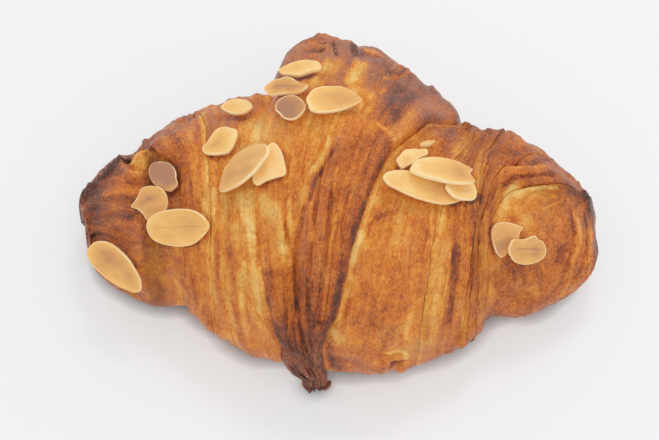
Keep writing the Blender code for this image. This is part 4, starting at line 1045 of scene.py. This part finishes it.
class Shader:
    """Short calls to build a material's node tree."""

    def __init__(self, name):
        self.material = bpy.data.materials.new(name)
        self.material.use_nodes = True
        self.tree = self.material.node_tree
        self.surface = self.tree.nodes["Principled BSDF"]

    def node(self, kind, inputs=(), **settings):
        """New node with its settings, and with values or links for its inputs."""
        made = self.tree.nodes.new(kind)
        for key, value in settings.items():
            setattr(made, key, value)
        for socket, value in dict(inputs).items():
            self.put(made.inputs[socket], value)
        return made

    def put(self, socket, value):
        """Links a node's output to a socket, or sets the socket's value."""
        if isinstance(value, bpy.types.NodeSocket):
            self.tree.links.new(value, socket)
        else:
            socket.default_value = value

    def attribute(self, name, vector=False):
        made = self.node("ShaderNodeAttribute", attribute_name=name)
        return made.outputs["Vector" if vector else "Fac"]

    def math(self, operation, first, second=0.0, clamp=False):
        made = self.node("ShaderNodeMath", {0: first, 1: second}, operation=operation, use_clamp=clamp)
        return made.outputs[0]

    def plus(self, first, second, clamp=False):
        return self.math("ADD", first, second, clamp)

    def minus(self, first, second, clamp=False):
        return self.math("SUBTRACT", first, second, clamp)

    def times(self, first, second, clamp=False):
        return self.math("MULTIPLY", first, second, clamp)

    def plus_parts(self, value, *parts):
        """Adds parts to a value, each times its amount."""
        for part, amount in parts:
            value = self.plus(value, self.times(part, amount))
        return value

    def finish(self, **values):
        """Sets or links the surface's inputs, and gives the finished material."""
        for name, value in values.items():
            self.put(self.surface.inputs[name.replace("_", " ")], value)
        return self.material

    def bump(self, height, strength, reach):
        """Normal of a surface that a height in 0 to 1 lifts by up to reach metres."""
        made = self.node("ShaderNodeBump", {"Height": height, "Strength": strength, "Distance": reach})
        return made.outputs[0]

    def scaled(self, vector, scale):
        made = self.node("ShaderNodeVectorMath", {0: vector, 1: scale}, operation="MULTIPLY")
        return made.outputs[0]

    def noise(self, vector, scale, detail=2.0, roughness=0.5, distortion=0.0):
        """Noise around 0: about -0.5 to 0.5."""
        made = self.node("ShaderNodeTexNoise", {"Vector": vector, "Scale": scale, "Detail": detail,
                                                "Roughness": roughness, "Distortion": distortion})
        return self.minus(made.outputs[0], 0.5)

    def hollow(self, reach):
        """0 in the open, up to 1 where other surfaces stand close by."""
        made = self.node("ShaderNodeAmbientOcclusion", {"Distance": reach}, samples=6)
        return self.minus(1.0, made.outputs["AO"])

    def ramp(self, value, stops):
        made = self.node("ShaderNodeValToRGB", {0: value})
        elements = made.color_ramp.elements
        elements[0].position, elements[0].color = stops[0]
        elements[1].position, elements[1].color = stops[-1]
        for position, colour in stops[1:-1]:
            elements.new(position).color = colour
        return made.outputs[0]

    def mix(self, share, first, second):
        made = self.node("ShaderNodeMix", {0: share, 6: first, 7: second}, data_type="RGBA")
        return made.outputs[2]


CRUST_RAMP = [
    (0.00, srgb(255, 216, 138)),
    (0.15, srgb(250, 198, 108)),
    (0.30, srgb(242, 172, 76)),
    (0.45, srgb(232, 146, 50)),
    (0.60, srgb(216, 120, 40)),
    (0.75, srgb(186, 94, 36)),
    (0.88, srgb(146, 70, 34)),
    (1.00, srgb(94, 52, 42)),
]
# Mauve of the painted sheen on the tops, and pale colour of the painted glints.
PAINTED_SHEEN_COLOUR = srgb(182, 126, 104)
PAINTED_GLINT_COLOUR = srgb(255, 222, 160)
OLIVE = srgb(214, 178, 104)
CREVICE_SHADE_REACH = 0.0018      # metres within which other crust paints shade into a crevice


def crust_material():
    """Baked crust: fine fibres and painted glints that follow the wraps, glossy, painted shade in its
    crevices, and dull dark tops under a painted mauve sheen.
    """
    shader = Shader("crust_finish")
    flow = shader.attribute("flow", vector=True)
    place = shader.node("ShaderNodeTexCoord").outputs["Object"]
    narrow = shader.noise(shader.scaled(flow, (1.3, 0.09, 1.0)), 1.0, detail=3.0, roughness=0.65)
    dash = shader.noise(shader.scaled(flow, (2.4, 0.65, 1.0)), 1.0, detail=2.0, roughness=0.6)
    mottle = shader.noise(place, 380.0, detail=3.0, roughness=0.6)
    speck = shader.noise(place, 1000.0, detail=2.0, roughness=0.6)
    grain = shader.noise(place, 2200.0, detail=1.0, roughness=0.6)
    # The browning here also takes painted shade in crevices, where other crust stands close.
    bake = shader.plus_parts(shader.attribute("bake"), (narrow, 0.20), (dash, 0.48), (mottle, 0.38),
                             (speck, 0.42), (grain, 0.35), (shader.hollow(CREVICE_SHADE_REACH), 0.20))
    colour = shader.ramp(bake, CRUST_RAMP)
    olive = shader.times(shader.noise(place, 140.0, detail=2.0), 2.6, clamp=True)
    pale = shader.minus(1.1, shader.times(bake, 1.3), clamp=True)
    colour = shader.mix(shader.times(olive, pale), colour, OLIVE)
    # Painted sheen: mauve mixed in, in patches, where the tops reflect the light from behind.
    bloom = shader.attribute("bloom")
    patchy = shader.plus(shader.times(mottle, 1.6), 0.8)
    bloom = shader.times(bloom, patchy, clamp=True)
    colour = shader.mix(bloom, colour, PAINTED_SHEEN_COLOUR)
    # Painted glints: pale specks mixed into the colour where the glaze would catch the lamps.
    glint_share = shader.plus(shader.times(dash, 1.2), grain)
    glint_share = shader.times(shader.minus(glint_share, 0.20), 7.0, clamp=True)
    colour = shader.mix(shader.times(glint_share, 0.40), colour, PAINTED_GLINT_COLOUR)
    height = shader.plus_parts(shader.times(narrow, 0.6), (dash, 0.9), (mottle, 0.8), (speck, 0.8),
                               (grain, 0.35))
    bump = shader.bump(height, 1.0, 0.0006)
    return shader.finish(Base_Color=colour, Roughness=shader.plus(shader.times(bloom, 0.15), 0.48),
                         Specular_IOR_Level=0.22, Coat_Weight=0.40, Coat_Roughness=0.20,
                         Normal=bump, Coat_Normal=bump)


ALMOND_CREAM = srgb(255, 228, 178)
ALMOND_RAMP = [
    (0.00, srgb(252, 216, 152)),
    (0.35, srgb(242, 192, 112)),
    (0.75, srgb(220, 162, 96)),
    (1.00, srgb(180, 128, 98)),
]


def almond_material():
    """Toasted almond: creamy rim, golden face that darkens to the middle."""
    shader = Shader("toasted_almond_finish")
    inset = shader.attribute("inset")
    plane = shader.attribute("plane", vector=True)
    soft = shader.noise(shader.scaled(plane, (0.12, 0.20, 1.0)), 1.0, detail=2.0)
    fibre = shader.noise(shader.scaled(plane, (0.25, 1.6, 1.0)), 1.0, detail=3.0)
    speck = shader.noise(shader.scaled(plane, (2.4, 2.4, 1.0)), 1.0, detail=2.0)
    inward = shader.times(inset, 0.28, clamp=True)
    depth = shader.plus_parts(shader.attribute("toast"), (inward, shader.attribute("core_toast")),
                              (soft, 0.8), (fibre, 0.16), (speck, 0.12))
    away = shader.math("ABSOLUTE", shader.node("ShaderNodeSeparateXYZ", {0: plane}).outputs[1])
    groove = shader.minus(1.0, shader.times(away, 2.5), clamp=True)
    groove = shader.times(groove, shader.times(shader.attribute("line"), inward))
    colour = shader.ramp(shader.plus_parts(depth, (groove, 0.30)), ALMOND_RAMP)
    edge = shader.plus_parts(shader.times(inset, -2.2), (soft, 2.4))
    edge = shader.plus(edge, shader.plus(shader.times(speck, 1.6), 0.95), clamp=True)
    height = shader.plus_parts(shader.times(fibre, 0.6), (speck, 0.4))
    return shader.finish(Base_Color=shader.mix(edge, colour, ALMOND_CREAM),
                         Roughness=shader.plus(shader.times(speck, 0.3), 0.42),
                         Specular_IOR_Level=0.45, Subsurface_Weight=0.25,
                         Subsurface_Radius=(1.0, 0.6, 0.3), Subsurface_Scale=0.0008,
                         Normal=shader.bump(height, 0.3, 0.0003))


WHITE = (1.0, 1.0, 1.0, 1.0)
TABLE_DARK = srgb(171, 172, 173)
TABLE_LIGHT = srgb(176, 177, 178)
# The table's glow is painted light, though the table is no lamp; it fades near the pastry, which paints its
# contact shadow.
TABLE_PAINTED_LIGHT = 0.46
TABLE_REACH = 3.0
PAINTED_SHADOW_REACH, PAINTED_SHADOW_POWER = 0.0048, 1.6      # the painted shadow close to the pastry, in metres


def table_material():
    """Plain pale table top with a painted glow that lightens its shadows and the pastry's underside; the glow
    fades close to the pastry as a painted contact shadow.
    """
    shader = Shader("pale_table")
    place = shader.node("ShaderNodeTexCoord").outputs["Object"]
    cloud = shader.noise(place, 6.0, detail=3.0)
    share = shader.plus(shader.times(cloud, 0.5), 0.5, clamp=True)
    open_share = shader.minus(1.0, shader.hollow(PAINTED_SHADOW_REACH), clamp=True)
    painted_light = shader.times(shader.math("POWER", open_share, PAINTED_SHADOW_POWER), TABLE_PAINTED_LIGHT)
    return shader.finish(Base_Color=shader.mix(share, TABLE_DARK, TABLE_LIGHT), Roughness=0.45,
                         Specular_IOR_Level=0.3, Emission_Color=WHITE, Emission_Strength=painted_light)


# ================================================================ the tail

# Way points: x, y, height, width, thickness.
TAIL = [
    (-11.4, -41.0, 22.0, 11.0, 4.0),
    (-10.6, -43.4, 17.0, 12.0, 5.0),
    (-9.2, -44.4, 11.5, 11.6, 5.0),
    (-7.0, -44.8, 7.0, 8.4, 4.8),
    (-6.9, -45.7, 3.8, 8.6, 4.4),
    (-6.8, -46.6, 2.4, 7.8, 3.8),
    (-6.5, -47.8, 1.9, 5.6, 2.6),
]
# Way points: x, y, height, radius.
HOOK = [
    (-5.0, -47.0, 1.8, 0.9),
    (-3.8, -47.0, 1.4, 0.75),
    (-2.7, -46.2, 1.7, 0.65),
    (-2.5, -45.4, 2.4, 0.55),
]
TAIL_SIDES, TAIL_RINGS = 96, 90
STRANDS, STRAND_SIDES, STRAND_RINGS = 15, 10, 60
HOOK_SIDES, HOOK_RINGS = 20, 24
TAIL_LIFT = 0.05            # the least height of the tail over the table


def circle(sides):
    """Cosines and sines round a ring, as a row of each."""
    angle = np.linspace(0, 2 * math.pi, sides, endpoint=False)
    return np.cos(angle)[None], np.sin(angle)[None]


def on_table(rings):
    """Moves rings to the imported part's place, and keeps them above the table."""
    rings[..., 1] -= CENTRE_Y
    rings[..., 2] = np.maximum(rings[..., 2], TAIL_LIFT)
    return rings


def curve_through(path, count):
    """Points of a smooth curve through a path, evenly spread over its way points."""
    keys = np.arange(len(path), dtype=float)
    where = np.linspace(0, len(path) - 1, count)
    return np.stack([smooth_curve(keys, column, where) for column in np.array(path, float).T], axis=-1)


def ring_frames(centres):
    """Directions along, across and outward at each point of a curve."""
    along = np.gradient(centres, axis=0)
    along /= np.linalg.norm(along, axis=1)[:, None]
    sideways = np.array([1.0, 0, 0]) if abs(along[:, 0]).max() < 0.7 else np.array([0, 1.0, 0])
    across = sideways - along * (along @ sideways)[:, None]
    across /= np.linalg.norm(across, axis=1)[:, None]
    return along, across, np.cross(along, across)


def build_tail_piece(name, vertices, faces, material, bake, bloom, flow):
    """One piece of the tail, with its looks."""
    piece = new_mesh(name, vertices, faces, material, "baked_crust")
    set_value(piece, "bake", bake)
    # Even share of the painted sheen on this piece.
    set_value(piece, "bloom", np.full(len(bake), bloom))
    set_value(piece, "flow", flow)
    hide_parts("croissant")


def build_tail(material):
    """Dry fibrous tail of the last turn, frayed at its tip."""
    curve = curve_through(TAIL, TAIL_RINGS)
    centres, widths, thicknesses = curve[:, :3], curve[:, 3], curve[:, 4]
    along, across, outward = ring_frames(centres)
    side, front = circle(TAIL_SIDES)
    down = np.linspace(0, 1, TAIL_RINGS)[:, None]
    fibre = (0.6 * flat_noise(side * 5.5 + down * 0.6, down * 2.0, 20)
             + 0.4 * flat_noise(side * 12 + down, down * 4.0, 21)
             + 0.3 * flat_noise(side * 24, down * 8.0, 22))
    slim = 1 - 0.14 * ease((down - 0.3) / 0.4)
    swell = (1 + 0.20 * fibre + 0.10 * np.cos(3 * math.pi * side + 2 * down)) * 0.92
    offset = (across[:, None] * (side * slim * widths[:, None] / 2)[..., None]
              + outward[:, None] * (front * thicknesses[:, None] / 2 * swell)[..., None])
    fray = ease((down - 0.80) / 0.2) * (1.8 * flat_noise(side * 4.5, np.sign(front) * 0.7, 23) - 0.6)
    points = centres[:, None] + offset + along[:, None] * fray[..., None]
    bake = 0.90 + 0.12 * fibre + 0.08 * ease((down - 0.6) / 0.4)
    flow = np.stack(np.broadcast_arrays(side * 6 + 200, down * 26, np.full(fibre.shape, 95.0)), axis=-1)
    flow = np.concatenate([flow.reshape(-1, 3), flow[0, :1], flow[-1, :1]])
    bake = np.concatenate([bake.ravel(), [0.85, 0.95]])
    build_tail_piece("tail", *closed_tube(on_table(points)), material, bake, 0.16, flow)


def build_strands(material):
    """Dried strands that lie along the tail and end unevenly at its tip."""
    curve = curve_through(TAIL, STRAND_RINGS)
    down = np.linspace(0, 1, STRAND_RINGS)
    _, across, outward = ring_frames(curve[:, :3])
    side, front = (part[..., None] for part in circle(STRAND_SIDES))
    vertices, faces, bakes, flows = [], [], [], []
    for strand in range(STRANDS):
        seat = (strand + 0.5) / STRANDS * 2 - 1
        start = 0.10 + 0.30 * abs(flat_noise(strand * 1.7, 0.0, 24))
        stop = 0.93 + 0.07 * flat_noise(strand * 2.3, 4.0, 25)
        where = start + (stop - start) * down
        drift = seat * (0.92 - 0.16 * where) + 0.14 * flat_noise(where * 3, strand * 3.1, 26)
        drift = np.clip(drift, -0.97, 0.97)
        centre = curve_through(TAIL, 400)[np.round(where * 399).astype(int)]
        step = np.round(where * (STRAND_RINGS - 1)).astype(int)
        lift = 0.5 * centre[:, 4] * np.sqrt(1 - drift ** 2)
        lift = lift * (0.95 + 0.16 * flat_noise(where * 4, strand * 5.3, 27))
        spine = (centre[:, :3] + across[step] * (drift * centre[:, 3] / 2)[:, None]
                 + outward[step] * lift[:, None])
        radius = 0.42 + 0.30 * abs(flat_noise(strand * 3.3, 2.0, 28))
        radius = radius * np.sin(math.pi * down ** 0.8) ** 0.35
        radius = np.maximum(radius * (1 + 0.25 * flat_noise(where * 12, strand * 2.9, 29)), 0.03)
        rings = (spine[:, None] + radius[:, None, None]
                 * (across[step][:, None] * side + outward[step][:, None] * front))
        tube, tube_faces = closed_tube(on_table(rings), sum(len(part) for part in vertices))
        vertices.append(tube)
        faces += tube_faces
        bakes.append(np.full(len(tube), 0.88 + 0.16 * flat_noise(strand * 4.7, 1.0, 30)))
        layer = np.full(len(tube), 120.0 + 7 * strand)
        flows.append(np.stack([tube[:, 0] * 1.5, tube[:, 2], layer], axis=-1))
    build_tail_piece("tail_strands", np.concatenate(vertices), faces, material,
                     np.concatenate(bakes), 0.14, np.concatenate(flows))


def build_hook(material):
    """Stray strand that curls up beside the tail's tip."""
    curve = curve_through(HOOK, HOOK_RINGS)
    _, across, outward = ring_frames(curve[:, :3])
    side, front = circle(HOOK_SIDES)
    rough = 1 + 0.2 * flat_noise(side * 2, np.linspace(0, 9, HOOK_RINGS)[:, None], 34)
    rings = curve[:, None, :3] + (curve[:, 3:] * rough)[..., None] * (
        across[:, None] * side[..., None] + outward[:, None] * front[..., None])
    vertices, faces = closed_tube(on_table(rings))
    build_tail_piece("tail_hook", vertices, faces, material,
                     np.full(len(vertices), 0.92), 0.12, vertices + 300)


# ================================================================ camera and light

CAMERA_ELEVATION = 62.0     # degrees
CAMERA_DISTANCE = 0.5       # metres, as the aim
CAMERA_LENS, CAMERA_SENSOR = 90.0, 36.0         # millimetres
CAMERA_AIM = (-0.0025, -0.0028, 0.020)


def build_camera():
    """Camera in front of the pastry, looking down on it."""
    data = bpy.data.cameras.new("camera")
    data.lens = CAMERA_LENS
    data.sensor_width = CAMERA_SENSOR
    data.clip_start = 0.01
    camera = bpy.data.objects.new("camera", data)
    bpy.context.scene.collection.objects.link(camera)
    rise = math.radians(CAMERA_ELEVATION)
    aim = Vector(CAMERA_AIM)
    camera.location = aim + CAMERA_DISTANCE * Vector((0, -math.cos(rise), math.sin(rise)))
    camera.rotation_euler = (math.pi / 2 - rise, 0, 0)
    bpy.context.scene.camera = camera


SURROUNDINGS = 0.82         # strength of the white surroundings
# Soft lamps behind and in front of the pastry: place, size, power.
LAMPS = [
    ((0.12, 0.42, 0.80), (0.20, 0.16), 1.1),
    ((0.18, -0.46, 0.86), (0.20, 0.20), 0.8),
]


def build_light():
    """Bright even surroundings and two soft lamps that make the glaze glint."""
    world = bpy.data.worlds.new("surroundings")
    world.use_nodes = True
    background = world.node_tree.nodes["Background"]
    background.inputs["Color"].default_value = WHITE
    background.inputs["Strength"].default_value = SURROUNDINGS
    bpy.context.scene.world = world
    for place, size, power in LAMPS:
        data = bpy.data.lights.new("lamp", "AREA")
        data.shape = "RECTANGLE"
        data.size, data.size_y = size
        data.energy = power
        lamp = bpy.data.objects.new("lamp", data)
        bpy.context.scene.collection.objects.link(lamp)
        lamp.location = place
        lamp.rotation_euler = (-lamp.location).to_track_quat("-Z", "Y").to_euler()


def build_table(material):
    """Plain table top, as the stage."""
    data = bpy.data.meshes.new("table")
    corners = [(x * TABLE_REACH, y * TABLE_REACH, 0) for x, y in ((-1, -1), (1, -1), (1, 1), (-1, 1))]
    data.from_pydata(corners, [], [(0, 1, 2, 3)])
    data.materials.append(material)
    table = bpy.data.objects.new("table", data)
    bpy.context.scene.collection.objects.link(table)


def main():
    scene = bpy.context.scene
    scene.view_settings.view_transform = "Standard"
    build_camera()
    build_light()
    build_table(table_material())
    crust = crust_material()
    almond = almond_material()
    slices = [Slice(name) for name in SLICES]
    for name, layout in CRUST_PIECES.items():
        build_crust(name, layout, crust, slices)
    build_tail(crust)
    build_strands(crust)
    build_hook(crust)
    for item in slices:
        build_slice(item, almond)


main()
